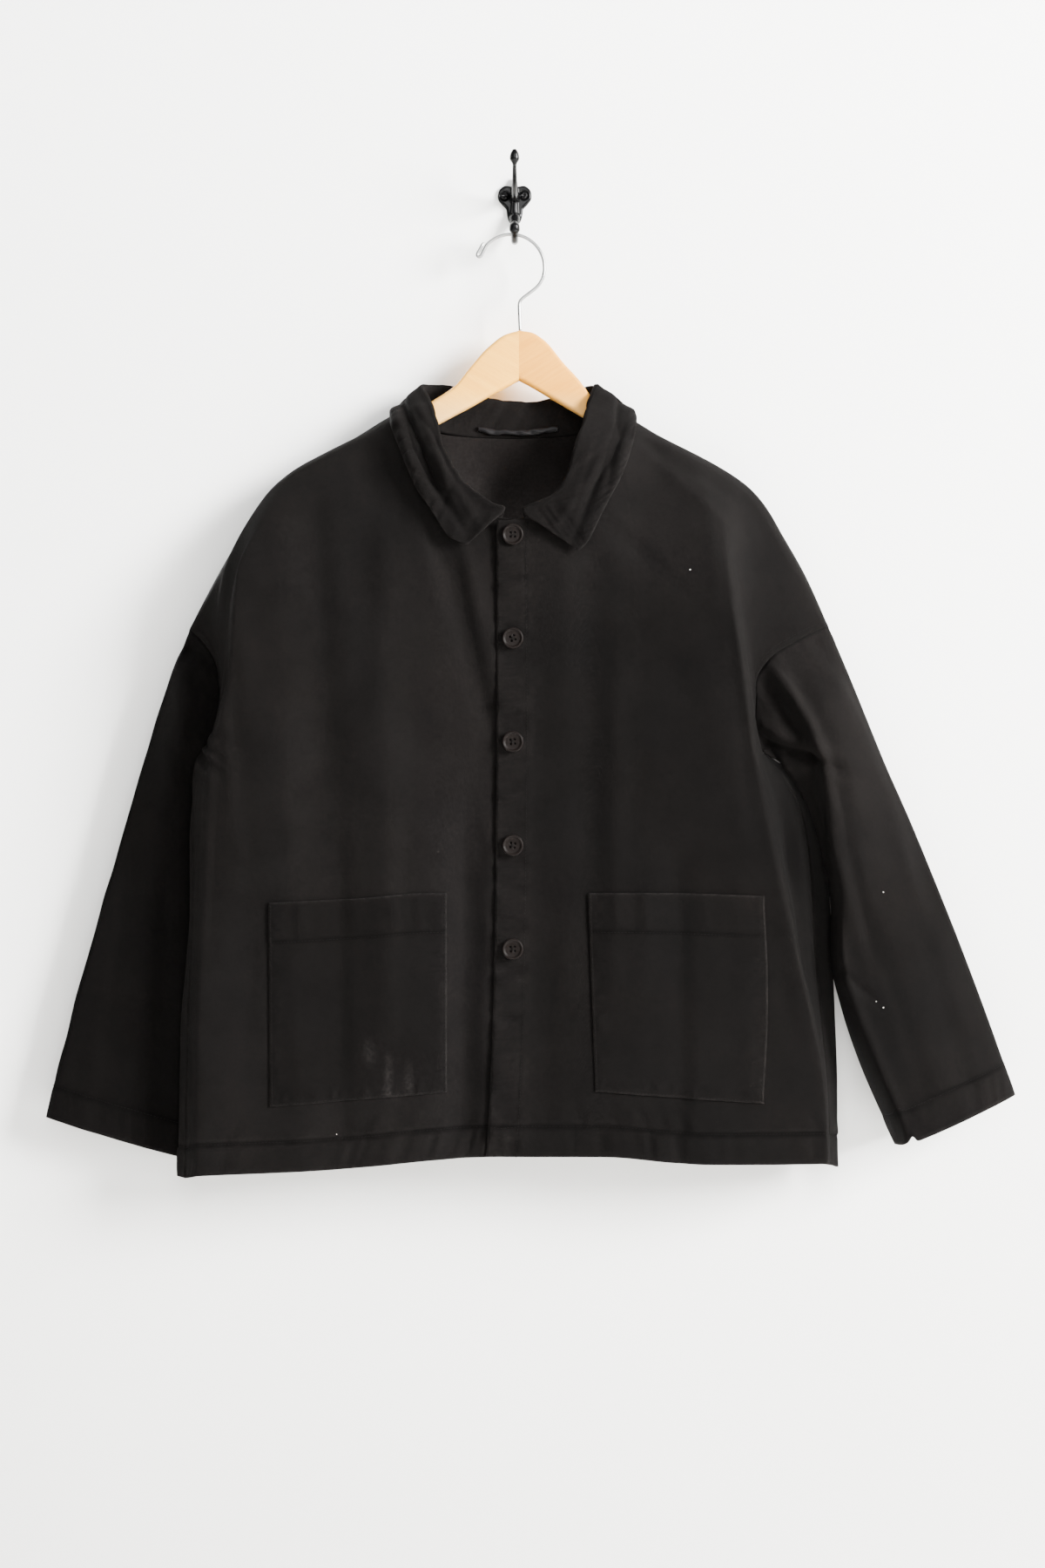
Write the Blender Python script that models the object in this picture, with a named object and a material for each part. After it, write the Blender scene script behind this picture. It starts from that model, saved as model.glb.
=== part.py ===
"""Overshirt on a wooden hanger, hung from a two-prong wall hook. Metres, +Z up.

The origin is the middle of the hook plate's flat back, the wall is y = 0 and the garment's
front faces -Y. Every table below is in millimetres. Left and right are the wearer's.
"""

import math
from collections import namedtuple

import bmesh
import bpy
import numpy as np
from mathutils import Vector
from mathutils.bvhtree import BVHTree

MM = 0.001

# ---- cloth ----
CLOTH = 1.2
SEAM_GAP = 0.3
COLLAR_CLOTH = 1.6
POCKET_LIFT = 0.4
ROWS_ABOVE = 12
ROWS_BELOW = 12
TOP_CROWD = [2.2, 2.2, 2.2, 2.2, 1.6, 1.15]
BACK_CROWD = [1.15, 1.6, 2.2, 2.2, 2.2, 2.2, 2.2, 1.6, 1.15]
FOLD_OVER = 10.0
SLEEVE_RINGS = 16

# ---- buttons ----
BUTTON_WIDE = 18.0
BUTTON_DEEP = 3.4
BUTTON_WELL = 13.0
BUTTON_HOLE = 1.9
BUTTON_X = -1.5
FIRST_BUTTON_Z = -300.0
BUTTON_STEP = 87.2
BUTTONS = 5

# ---- hanger ----
HANGER_Y = -30.0
WOOD_DEEP = 12.0
WOOD_ROUND = 4.6
WIRE = 3.0

# ---- wall hook ----
PLATE_DEEP = 3.2
SCREW_HEAD = 6.4

Row = namedtuple("Row", "u x y z")
Guide = namedtuple("Guide", "name points")
Fold = namedtuple("Fold", "x1 z1 x2 z2 wide deep")
Ring = namedtuple("Ring", "out_x out_z in_x in_z out_y in_y crest front back")
Leaf = namedtuple("Leaf", "neck roll edge")

# The left front (on the picture's right): its top edge runs along the neck seam, over the
# shoulder and down to the armhole; u counts the guides from the buttoned edge to the side.
LEFT_TOP = [
    Row(0.00, -15, -80, -288),
    Row(0.55, 25, -80, -284),
    Row(1.00, 62, -74, -258),
    Row(1.25, 76, -58, -219),
    Row(1.40, 82, -43, -200),
    Row(1.50, 86, -30, -190),
    Row(2.00, 124, -30, -210),
    Row(2.50, 152, -30, -225),
    Row(3.00, 181, -30, -240),
    Row(3.33, 202, -30, -255),
    Row(3.66, 216, -30, -271),
    Row(4.00, 229, -30, -293),
    Row(4.50, 250, -30, -330),
    Row(5.00, 270, -30, -374),
]
LEFT_UPPER = [
    Guide("edge", [(-15, -80, -288), (-15, -79, -350), (-15, -78, -420), (-15, -78, -482)]),
    Guide("breast", [(62, -74, -258), (68, -80, -320), (72, -82, -400), (74, -82, -482)]),
    Guide("yoke", [(124, -40, -210), (130, -72, -290), (134, -84, -390), (136, -85, -482)]),
    Guide(
        "ridge",
        [(181, -40, -240), (177, -70, -294), (180, -84, -346), (187, -88, -396), (199, -88, -482)],
    ),
    Guide(
        "furrow",
        [(229, -40, -293), (205, -52, -330), (196, -60, -365), (200, -62, -420), (209, -64, -482)],
    ),
    Guide(
        "seam",
        [
            (270, -30, -374),
            (241, -42, -388),
            (218, -48, -403),
            (206, -50, -425),
            (206, -48, -458),
            (212, -46, -482),
        ],
    ),
]
LEFT_LOWER = [
    Guide("edge", [(-15, -78, -482), (-17, -78, -657), (-22, -79, -796), (-24, -80, -824)]),
    Guide("breast", [(74, -82, -482), (74, -82, -600), (74, -81, -740), (74, -82, -824)]),
    Guide("yoke", [(136, -85, -482), (142, -85, -600), (150, -84, -740), (154, -84, -830)]),
    Guide(
        "ridge",
        [
            (199, -88, -482),
            (205, -88, -514),
            (217, -88, -575),
            (234, -87, -650),
            (249, -82, -708),
            (258, -76, -745),
            (263, -73, -790),
            (264, -72, -831),
        ],
    ),
    Guide(
        "furrow",
        [
            (209, -64, -482),
            (221, -66, -514),
            (236, -66, -576),
            (247, -66, -650),
            (257, -66, -709),
            (263, -65, -742),
            (266, -64, -790),
            (267, -63, -831),
        ],
    ),
    Guide(
        "seam",
        [
            (212, -46, -482),
            (230, -46, -503),
            (244, -46, -532),
            (252, -46, -576),
            (256, -48, -653),
            (262, -52, -718),
            (267, -56, -785),
            (268, -56, -833),
        ],
    ),
]

# The right front (on the picture's left); its buttoned edge runs on under the left front.
RIGHT_TOP = [
    Row(0.00, 11, -76, -288),
    Row(0.40, -16, -76.4, -285),
    Row(0.70, -38, -78, -276),
    Row(1.00, -60, -74, -257),
    Row(1.25, -81, -58, -218),
    Row(1.40, -90, -43, -199),
    Row(1.50, -94, -30, -189),
    Row(2.00, -133, -30, -210),
    Row(2.50, -163, -30, -225),
    Row(3.00, -190, -30, -240),
    Row(3.33, -208, -30, -255),
    Row(3.66, -220, -30, -271),
    Row(4.00, -238, -30, -300),
    Row(4.50, -257, -30, -333),
    Row(5.00, -280, -30, -377),
]
RIGHT_UPPER = [
    Guide("edge", [(11, -76, -288), (11, -75, -350), (11, -74, -420), (11, -74, -480)]),
    Guide("breast", [(-60, -74, -257), (-64, -80, -320), (-66, -81, -400), (-68, -81, -480)]),
    Guide("yoke", [(-133, -40, -210), (-138, -70, -290), (-142, -82, -390), (-146, -84, -481)]),
    Guide(
        "ridge",
        [
            (-190, -40, -240),
            (-215, -64, -288),
            (-232, -74, -326),
            (-236, -80, -380),
            (-238, -80, -418),
            (-247, -78, -452),
            (-257, -73, -482),
        ],
    ),
    Guide(
        "furrow",
        [
            (-238, -40, -300),
            (-249, -52, -335),
            (-244, -60, -385),
            (-244, -64, -418),
            (-251, -64, -452),
            (-263, -59, -482),
        ],
    ),
    Guide(
        "seam",
        [
            (-280, -30, -377),
            (-265, -38, -391),
            (-254, -44, -413),
            (-252, -47, -436),
            (-257, -47, -459),
            (-261, -46, -472),
            (-268, -43, -482),
        ],
    ),
]
RIGHT_LOWER = [
    Guide("edge", [(11, -74, -480), (11, -74, -657), (6, -75, -796), (4, -76, -823)]),
    Guide("breast", [(-68, -81, -480), (-66, -80, -600), (-66, -79, -740), (-66, -79, -827)]),
    Guide("yoke", [(-146, -84, -481), (-148, -83, -600), (-150, -82, -740), (-152, -81, -835)]),
    Guide(
        "ridge",
        [
            (-257, -73, -482),
            (-258, -75, -520),
            (-261, -76, -600),
            (-267, -76, -719),
            (-268, -76, -841),
        ],
    ),
    Guide(
        "furrow",
        [
            (-263, -59, -482),
            (-266, -65, -520),
            (-268, -68, -600),
            (-274, -68, -719),
            (-275, -68, -843),
        ],
    ),
    Guide(
        "seam",
        [
            (-268, -43, -482),
            (-272, -47, -496),
            (-274, -52, -516),
            (-274, -55, -545),
            (-274, -57, -600),
            (-278, -58, -719),
            (-280, -58, -845),
        ],
    ),
]

# The back: u counts from the picture's left side seam to its right side seam.
BACK_TOP = [
    Row(0.0, -280, -29.7, -377),
    Row(0.5, -268, -29.7, -354),
    Row(1.0, -256, -29.7, -331),
    Row(1.5, -238, -29.7, -300),
    Row(2.0, -219, -29.7, -270),
    Row(2.3, -208, -29.7, -255),
    Row(2.5, -190, -29.7, -240),
    Row(3.0, -140, -29.7, -213.5),
    Row(3.4, -94, -29.7, -189),
    Row(3.48, -89, -21.5, -195.5),
    Row(3.65, -69, -16, -206),
    Row(3.83, -33, -14.4, -210.4),
    Row(4.0, -1, -14, -211),
    Row(4.17, 31, -14.4, -210.4),
    Row(4.35, 64, -16, -206),
    Row(4.52, 82, -21.5, -194.5),
    Row(4.6, 86, -29.7, -190),
    Row(5.0, 124, -29.7, -210),
    Row(5.5, 181, -29.7, -240),
    Row(5.7, 202, -29.7, -255),
    Row(6.0, 216, -29.7, -271),
    Row(6.5, 233, -29.7, -300),
    Row(7.0, 250, -29.7, -330),
    Row(8.0, 270, -29.7, -374),
]
BACK_UPPER = [
    Guide(
        "seam_r",
        [
            (-280, -29.7, -377),
            (-270, -22, -397),
            (-262, -20, -420),
            (-259, -24, -445),
            (-259, -30, -468),
            (-268, -43, -482),
        ],
    ),
    Guide("side_r", [(-256, -21, -331), (-250, -17, -390), (-246, -18, -435), (-252, -31, -481)]),
    Guide("flank_r", [(-219, -20, -270), (-216, -14, -350), (-220, -14, -430), (-232, -24, -481)]),
    Guide("blade_r", [(-140, -20, -213.5), (-134, -14, -300), (-130, -12, -400), (-130, -13, -480)]),
    Guide("centre", [(-1, -14, -211), (0, -12, -300), (0, -10, -400), (0, -10, -480)]),
    Guide("blade_l", [(124, -20, -210), (128, -14, -300), (130, -12, -400), (130, -12, -480)]),
    Guide("flank_l", [(216, -20, -271), (200, -14, -350), (196, -14, -430), (196, -18, -481)]),
    Guide("side_l", [(250, -21, -330), (234, -17, -390), (214, -18, -440), (207, -27, -481)]),
    Guide(
        "seam_l",
        [
            (270, -29.7, -374),
            (255, -22, -397),
            (238, -20, -425),
            (225, -28, -456),
            (220, -35, -470),
            (212, -46, -482),
        ],
    ),
]
BACK_LOWER = [
    Guide("seam_r", RIGHT_LOWER[5].points),
    Guide(
        "side_r",
        [
            (-252, -31, -481),
            (-267, -40, -499),
            (-275, -44, -522),
            (-278, -45, -560),
            (-278, -45, -616),
            (-281, -45, -662),
            (-286, -44, -720),
            (-288, -44, -845),
        ],
    ),
    Guide("flank_r", [(-232, -24, -481), (-237, -33, -530), (-238, -37, -700), (-238, -38, -843)]),
    Guide("blade_r", [(-130, -13, -480), (-130, -14, -600), (-132, -14, -700), (-135, -15, -838)]),
    Guide("centre", [(0, -10, -480), (0, -9, -600), (0, -9, -740), (0, -9, -828)]),
    Guide("blade_l", [(130, -12, -480), (134, -12, -600), (138, -13, -740), (140, -13, -832)]),
    Guide("flank_l", [(196, -18, -481), (226, -16, -560), (236, -17, -700), (240, -18, -836)]),
    Guide(
        "side_l",
        [
            (207, -27, -481),
            (232, -25, -500),
            (252, -22, -530),
            (267, -22, -570),
            (273, -23, -625),
            (275, -26, -690),
            (277, -34, -770),
            (277, -38, -838),
        ],
    ),
    Guide("seam_l", LEFT_LOWER[5].points),
]

# Largest soft folds of the fronts: a line down the panel, its width and its depth
# (a trough is positive, a ridge negative).
FRONT_FOLDS = [
    Fold(-176, -260, -160, -480, 20, 5),
    Fold(-160, -480, -142, -830, 20, 5),
    Fold(-110, -330, -105, -700, 18, -4),
    Fold(-65, -300, -28, -440, 10, 5),
    Fold(-38, -560, -42, -800, 16, 6),
    Fold(64, -330, 64, -660, 14, 4),
    Fold(72, -285, 124, -330, 9, 3),
    Fold(138, -590, 140, -825, 13, 4),
]

# Sleeves: each ring's outer and inner edge seen from the front, how far those edges stand
# from the wall, where the crest lies across it, and how far front and back bulge.
LEFT_SLEEVE = [
    Ring(288, -417, 229, -494, -34, -44, 0.50, 23, 14),
    Ring(302, -452, 246, -518, -36, -42, 0.56, 25, 18),
    Ring(318, -492, 261, -560, -38, -42, 0.68, 25, 22),
    Ring(339, -540, 270, -615, -40, -42, 0.82, 25, 24),
    Ring(362, -596, 275, -662, -41, -42, 0.88, 25, 25),
    Ring(381, -644, 284, -702, -42, -42, 0.88, 26, 27),
    Ring(405, -708, 297, -744, -42, -42, 0.86, 28, 29),
    Ring(429, -776, 328, -818, -42, -42, 0.86, 32, 32),
]
RIGHT_SLEEVE = [
    Ring(-296, -418, -273, -491, -32, -38, 0.45, 13, 8),
    Ring(-312, -468, -269, -513, -33, -28, 0.38, 13, 8),
    Ring(-328, -520, -256, -560, -33, -22, 0.30, 13, 10),
    Ring(-347, -585, -245, -622, -33, -20, 0.28, 13, 12),
    Ring(-364, -645, -245, -690, -33, -20, 0.28, 13, 12),
    Ring(-381, -705, -254, -750, -33, -20, 0.28, 14, 13),
    Ring(-403, -797, -272, -835, -32, -21, 0.28, 15, 14),
]

# The collar from its right front end round the back to its left front end: neck seam,
# roll and outer edge.
COLLAR = [
    Leaf((-10, -80, -286), (-8, -84, -278), (-40, -86, -309)),
    Leaf((-26, -80, -281), (-23, -84, -271), (-54, -86, -303)),
    Leaf((-45, -79, -271), (-38, -82, -261), (-70, -84, -280)),
    Leaf((-60, -75, -257), (-51, -78, -244), (-82, -80, -262)),
    Leaf((-72, -68, -238), (-60, -71, -225), (-92, -74, -240)),
    Leaf((-81, -58, -218), (-66, -59, -203), (-99, -63, -222)),
    Leaf((-89, -44, -200), (-73, -44, -182), (-106, -48, -203)),
    Leaf((-93.5, -30, -188.5), (-79, -30, -168), (-107.5, -30, -192.5)),
    Leaf((-88, -21, -195), (-75, -21, -165), (-104, -12, -204)),
    Leaf((-66, -16, -206), (-54, -17, -167), (-82, -8, -219)),
    Leaf((-30, -14.5, -210.6), (-25, -17, -176), (-35, -7, -226)),
    Leaf((0, -14.5, -211), (5, -17, -180), (2, -7, -227)),
    Leaf((30, -14.5, -210.6), (34, -17, -177), (37, -7, -226)),
    Leaf((64, -16, -206), (58, -17, -168), (82, -8, -219)),
    Leaf((81, -21, -194), (69, -21, -166), (100, -12, -206)),
    Leaf((85.5, -30, -189.5), (70, -30, -167), (105, -30, -193)),
    Leaf((81, -44, -203), (64, -44, -183), (104, -48, -205)),
    Leaf((75, -58, -218), (59, -59, -202), (99, -63, -226)),
    Leaf((70, -68, -236), (53, -71, -219), (91, -74, -249)),
    Leaf((62, -75, -258), (47, -78, -242), (81, -80, -268)),
    Leaf((47, -79, -274), (40, -82, -259), (71, -84, -288)),
    Leaf((26, -80, -283), (25, -84, -271), (62, -86, -306)),
    Leaf((8, -80, -287), (7, -84, -279), (54, -86, -314)),
]
COLLAR_STEPS = 40
ROLL = 2.0

# The patch pockets' corners seen from the front: top inner, top outer, bottom outer, bottom inner.
LEFT_POCKET = [(62, -602), (210, -604), (210, -779), (68, -769)]
RIGHT_POCKET = [(-57, -603), (-207, -610), (-206, -782), (-57, -770)]


def clear_scene():
    for obj in list(bpy.data.objects):
        bpy.data.objects.remove(obj, do_unlink=True)


def smooth(knots, values, at):
    """Piecewise cubic through the values with no overshoot between them."""
    knots = np.asarray(knots, float)
    values = np.asarray(values, float)
    at = np.clip(np.asarray(at, float), knots[0], knots[-1])
    step = np.diff(knots)
    slope = np.diff(values) / step
    tangent = np.zeros(len(knots))
    tangent[0] = slope[0]
    tangent[-1] = slope[-1]
    for i in range(1, len(knots) - 1):
        if slope[i - 1] * slope[i] > 0:
            w1 = 2 * step[i] + step[i - 1]
            w2 = step[i] + 2 * step[i - 1]
            tangent[i] = (w1 + w2) / (w1 / slope[i - 1] + w2 / slope[i])
    k = np.clip(np.searchsorted(knots, at, side="right") - 1, 0, len(step) - 1)
    t = (at - knots[k]) / step[k]
    a = values[k] * (1 + 2 * t) * (1 - t) ** 2 + values[k + 1] * t * t * (3 - 2 * t)
    return a + step[k] * (tangent[k] * t * (1 - t) ** 2 - tangent[k + 1] * t * t * (1 - t))


def along(points, at):
    """Points spaced by their own distance, read at shares 0 to 1 of the length."""
    points = np.asarray(points, float)
    run = np.concatenate([[0], np.cumsum(np.linalg.norm(np.diff(points, axis=0), axis=1))])
    return np.stack([smooth(run / run[-1], points[:, k], at) for k in range(3)], axis=-1)


def fold_relief(x, z, folds):
    total = np.zeros_like(x)
    for fold in folds:
        dx = fold.x2 - fold.x1
        dz = fold.z2 - fold.z1
        run = dx * dx + dz * dz
        t = ((x - fold.x1) * dx + (z - fold.z1) * dz) / run
        off = ((x - fold.x1) * dz - (z - fold.z1) * dx) / math.sqrt(run)
        past = np.maximum(np.maximum(-t, t - 1), 0) * math.sqrt(run)
        total += fold.deep * np.exp(-((off / fold.wide) ** 2) - (past / 30) ** 2)
    return total


def panel_surface(top, upper, lower, crowd, columns, folds):
    """Outer points of one body panel, rows from the top edge to the hem."""
    even = np.arange(ROWS_ABOVE + 1) / ROWS_ABOVE
    below = np.arange(1, ROWS_BELOW + 1) / ROWS_BELOW
    guides = [
        np.concatenate([along(a.points, even**power), along(b.points, below)])
        for a, b, power in zip(upper, lower, crowd)
    ]
    guides = np.stack(guides, axis=1)
    rows = len(guides)
    at = np.arange(len(upper))
    grid = np.empty((rows, len(columns), 3))
    for r in range(rows):
        for k in range(3):
            grid[r, :, k] = smooth(at, guides[r, :, k], columns)
    places = [p.u for p in top]
    edge = [smooth(places, [getattr(p, k) for p in top], columns) for k in "xyz"]
    edge = np.stack(edge, axis=-1)
    change = edge - grid[0]
    for j in range(len(columns)):
        drop = np.linalg.norm((grid[:, j] - grid[0, j])[:, [0, 2]], axis=1)
        reach = max(FOLD_OVER, abs(change[j, 1]))
        fall = np.clip(drop / reach, 0, 1)
        curl = 1 - np.sqrt(1 - (1 - fall) ** 2)
        fade = np.clip(1 - drop / 60, 0, 1) ** 2
        grid[:, j, 0] += change[j, 0] * fade
        grid[:, j, 2] += change[j, 2] * fade
        grid[:, j, 1] += change[j, 1] * curl
    if folds:
        span = np.linalg.norm((grid - grid[:1])[..., [0, 2]], axis=-1)
        ease = np.clip(span / 60, 0, 1)
        side = np.clip((len(upper) - 1 - columns) / 2, 0, 1) * np.clip(columns / 0.5 - 0.4, 0, 1)
        grid[..., 1] += fold_relief(grid[..., 0], grid[..., 2], folds) * ease * side
    return grid


def grid_normals(grid, ring=False):
    """Unit normals of a grid of points, rows by columns; ring closes the columns."""
    if ring:
        du = np.roll(grid, -1, axis=1) - np.roll(grid, 1, axis=1)
    else:
        du = np.gradient(grid, axis=1)
    dv = np.gradient(grid, axis=0)
    n = np.cross(du, dv)
    return n / np.maximum(np.linalg.norm(n, axis=-1, keepdims=True), 1e-9)


def add_material(obj, name, colour, rough, metallic=0.0):
    mat = bpy.data.materials.new(name)
    mat.use_nodes = True
    shader = mat.node_tree.nodes["Principled BSDF"]
    shader.inputs["Base Color"].default_value = (*colour, 1)
    shader.inputs["Roughness"].default_value = rough
    shader.inputs["Metallic"].default_value = metallic
    obj.data.materials.append(mat)


def add_object(name, bm, colour, rough, metallic=0.0, round_faces=True):
    bmesh.ops.recalc_face_normals(bm, faces=bm.faces)
    mesh = bpy.data.meshes.new(name)
    bm.to_mesh(mesh)
    bm.free()
    for poly in mesh.polygons:
        poly.use_smooth = round_faces
    obj = bpy.data.objects.new(name, mesh)
    bpy.context.scene.collection.objects.link(obj)
    add_material(obj, name, colour, rough, metallic)
    return obj


def wall_mesh(outer, inner, ring=False):
    """A closed wall between two grids of points, split into triangles the same way throughout."""
    bm = bmesh.new()
    rows, cols = outer.shape[:2]
    sheets = [[[bm.verts.new(p * MM) for p in line] for line in sheet] for sheet in (outer, inner)]
    last = cols if ring else cols - 1

    def quad(a, b, c, d):
        bm.faces.new((a, b, c))
        bm.faces.new((a, c, d))

    for r in range(rows - 1):
        for c in range(last):
            d = (c + 1) % cols
            for sheet in sheets:
                quad(sheet[r][c], sheet[r][d], sheet[r + 1][d], sheet[r + 1][c])
    for r in (0, rows - 1):
        for c in range(last):
            d = (c + 1) % cols
            quad(sheets[0][r][c], sheets[0][r][d], sheets[1][r][d], sheets[1][r][c])
    if not ring:
        for c in (0, cols - 1):
            for r in range(rows - 1):
                quad(sheets[0][r][c], sheets[0][r + 1][c], sheets[1][r + 1][c], sheets[1][r][c])
    return bm


def pull_in(line, inside, amount):
    """Moves an edge's points towards the next line of the same panel."""
    way = inside - line
    return line + way / np.linalg.norm(way, axis=-1, keepdims=True) * amount


CLOTH_DARK = (0.016, 0.013, 0.011)

# Columns of each panel, closer where the neck seam turns over the shoulder and at the side seams.
FRONT_EVEN = np.arange(1, 4.01, 0.25)
FRONT_CLOSE = [0, 0.2, 0.45, 0.7, 1.12, 1.4, 4.33, 4.67, 5.0]
COLUMNS_FRONT = np.unique(np.append(FRONT_EVEN, FRONT_CLOSE))
BACK_EVEN = np.arange(0, 8.01, 0.5)
BACK_CLOSE = [0.25, 3.4, 3.48, 3.58, 3.65, 3.83, 4.17, 4.35, 4.44, 4.52, 4.6, 7.75]
COLUMNS_BACK = np.unique(np.append(BACK_EVEN, BACK_CLOSE))


def outward(normals, axis_sign):
    """Turns a whole panel's normals to the side that the middle one should face."""
    middle = normals[normals.shape[0] // 2, normals.shape[1] // 2, 1]
    return normals * (1 if middle * axis_sign > 0 else -1)


def make_body():
    front = (TOP_CROWD, COLUMNS_FRONT, FRONT_FOLDS)
    grids = {
        "front_left": panel_surface(LEFT_TOP, LEFT_UPPER, LEFT_LOWER, *front),
        "front_right": panel_surface(RIGHT_TOP, RIGHT_UPPER, RIGHT_LOWER, *front),
        "back": panel_surface(BACK_TOP, BACK_UPPER, BACK_LOWER, BACK_CROWD, COLUMNS_BACK, []),
    }
    normals = {n: outward(grid_normals(g), 1 if n == "back" else -1) for n, g in grids.items()}
    shared = ROWS_ABOVE
    for name, col in (("front_left", -1), ("front_right", 0)):
        front = normals[name][shared:, -1]
        back = normals["back"][shared:, col]
        mean = front + back
        mean /= np.linalg.norm(mean, axis=-1, keepdims=True)
        normals[name][shared:, -1] = mean
        normals["back"][shared:, col] = mean
    for name, grid in grids.items():
        line = grid[0]
        shoulder = np.abs(line[:, 1] + 30) < 0.4
        way = np.gradient(line, axis=0)
        up = np.stack([-way[:, 2], np.zeros(len(way)), way[:, 0]], axis=-1)
        up *= np.sign(up[:, 2:3])
        up /= np.maximum(np.linalg.norm(up, axis=-1, keepdims=True), 1e-9)
        normals[name][0][shoulder] = up[shoulder]
    return grids, normals


def finish_panel(name, grid, normals):
    inner = grid - normals * CLOTH
    outer = grid.copy()
    half = SEAM_GAP / 2
    ends = [0, -1] if name == "back" else [-1]
    for col in ends:
        nearby = 1 if col == 0 else -2
        for sheet in (outer, inner):
            sheet[:, col] = pull_in(sheet[:, col], sheet[:, nearby], half)
    return add_object(name, wall_mesh(outer, inner), CLOTH_DARK, 0.9), outer


def sleeve_controls(table, front_edge, back_edge):
    """Rings of points from the armhole to the cuff; each runs down the front and up the back."""
    count = len(front_edge)
    angle = np.pi * np.arange(count) / (count - 1)
    across = (1 - np.cos(angle)) / 4 + angle / np.pi / 2
    rings = [np.concatenate([front_edge, back_edge[::-1][1:-1]])]
    for row in table:
        mid_y = row.out_y + (row.in_y - row.out_y) * across
        rise = np.where(
            across < row.crest,
            np.sin(np.pi / 2 * np.clip(across / row.crest, 0, 1)) ** 0.8,
            np.cos(np.pi / 2 * np.clip((across - row.crest) / (1 - row.crest), 0, 1)) ** 0.8,
        )
        hump = np.sin(angle) ** 0.9
        x = row.out_x + (row.in_x - row.out_x) * across
        z = row.out_z + (row.in_z - row.out_z) * across
        front = np.stack([x, mid_y - row.front * rise, z], axis=-1)
        back = np.stack([x, mid_y + row.back * hump, z], axis=-1)
        front[0] = back[0]
        front[-1] = back[-1]
        rings.append(np.concatenate([front, back[::-1][1:-1]]))
    return np.stack(rings)


def make_sleeve(table, front_edge, back_edge):
    rings = sleeve_controls(table, front_edge, back_edge)
    middle = rings.mean(axis=1)
    run = np.concatenate([[0], np.cumsum(np.linalg.norm(np.diff(middle, axis=0), axis=1))])
    at = run[-1] * (np.arange(SLEEVE_RINGS + 1) / SLEEVE_RINGS) ** 1.25
    grid = np.empty((len(at), rings.shape[1], 3))
    for c in range(rings.shape[1]):
        for k in range(3):
            grid[:, c, k] = smooth(run, rings[:, c, k], at)
    normals = grid_normals(grid, ring=True)
    centre = grid.mean(axis=1, keepdims=True)
    if ((grid - centre) * normals).sum() < 0:
        normals = -normals
    low = len(front_edge) - 1
    for r in range(4):
        crotch = (grid[r, low - 1] + grid[r, low + 1]) / 2 - grid[r, low]
        normals[r, low] = -crotch / np.linalg.norm(crotch)
    return grid, normals


def make_collar(trees):
    leaves = COLLAR
    at = np.linspace(0, len(leaves) - 1, COLLAR_STEPS + 1)
    index = np.arange(len(leaves))
    lines = {}
    for field in ("neck", "roll", "edge"):
        values = np.array([getattr(leaf, field) for leaf in leaves], float)
        lines[field] = np.stack([smooth(index, values[:, k], at) for k in range(3)], axis=-1)
    neck, roll, edge = lines["neck"], lines["roll"], lines["edge"]
    from_middle = np.stack([roll[:, 0] * 0.5, roll[:, 1] + 36, np.zeros(len(at))], axis=-1)
    up = roll - neck
    tall = np.linalg.norm(up, axis=-1, keepdims=True)
    up /= tall
    out = np.cross(np.gradient(roll, axis=0), up)
    out *= np.sign((out * from_middle).sum(axis=-1, keepdims=True))
    out /= np.linalg.norm(out, axis=-1, keepdims=True)
    turn = roll - up * ROLL
    slant = ROLL * math.sqrt(0.5)
    start = turn + out * ROLL
    fall = edge - start
    steps = [
        neck + up * 1.2,
        neck + up * tall * 0.45,
        turn - out * ROLL,
        turn + (up - out) * slant,
        roll,
        turn + (up + out) * slant,
        start,
        start + fall * 0.33 + out * 1.6,
        start + fall * 0.67 + out * 1.2,
        edge,
    ]
    control = np.stack(steps, axis=1)
    share = np.array([0, 0.16, 0.3, 0.34, 0.38, 0.42, 0.46, 0.64, 0.82, 1.0])
    fine = np.array([0, 0.12, 0.23, 0.3, 0.34, 0.38, 0.42, 0.46, 0.55, 0.64, 0.76, 0.88, 1.0])
    grid = np.empty((len(at), len(fine), 3))
    for r in range(len(at)):
        for k in range(3):
            grid[r, :, k] = smooth(share, control[r, :, k], fine)
    clear = COLLAR_CLOTH / 2 + 0.9
    for _ in range(4):
        for r in range(len(at)):
            for c in range(8, len(fine)):
                for tree in trees:
                    spot, normal, _face, _far = tree.find_nearest(Vector(grid[r, c]))
                    away = Vector(grid[r, c]) - spot
                    over = away.dot(normal)
                    square_on = abs(over) > 0.9 * away.length
                    if square_on and -8 < over < clear:
                        grid[r, c] += np.array(normal) * (clear - over)
    normals = grid_normals(grid)
    middle = len(at) // 2
    if normals[middle, -1, 1] < 0:
        normals = -normals
    half = COLLAR_CLOTH / 2
    return add_object("collar", wall_mesh(grid + normals * half, grid - normals * half), CLOTH_DARK, 0.9)


def surface_tree(outer, faces_y):
    """A panel's outer points as a search tree, its triangles facing to the given side of Y."""
    rows, cols = outer.shape[:2]
    r, k = rows // 2, cols // 2
    a, b, c = outer[r, k], outer[r, k + 1], outer[r + 1, k + 1]
    keep = np.cross(b - a, c - a)[1] * faces_y > 0
    faces = []
    for r in range(rows - 1):
        for k in range(cols - 1):
            i = r * cols + k
            for tri in ((i, i + 1, i + cols + 1), (i, i + cols + 1, i + cols)):
                faces.append(tri if keep else tri[::-1])
    return BVHTree.FromPolygons([tuple(p) for p in outer.reshape(-1, 3)], faces)


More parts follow.
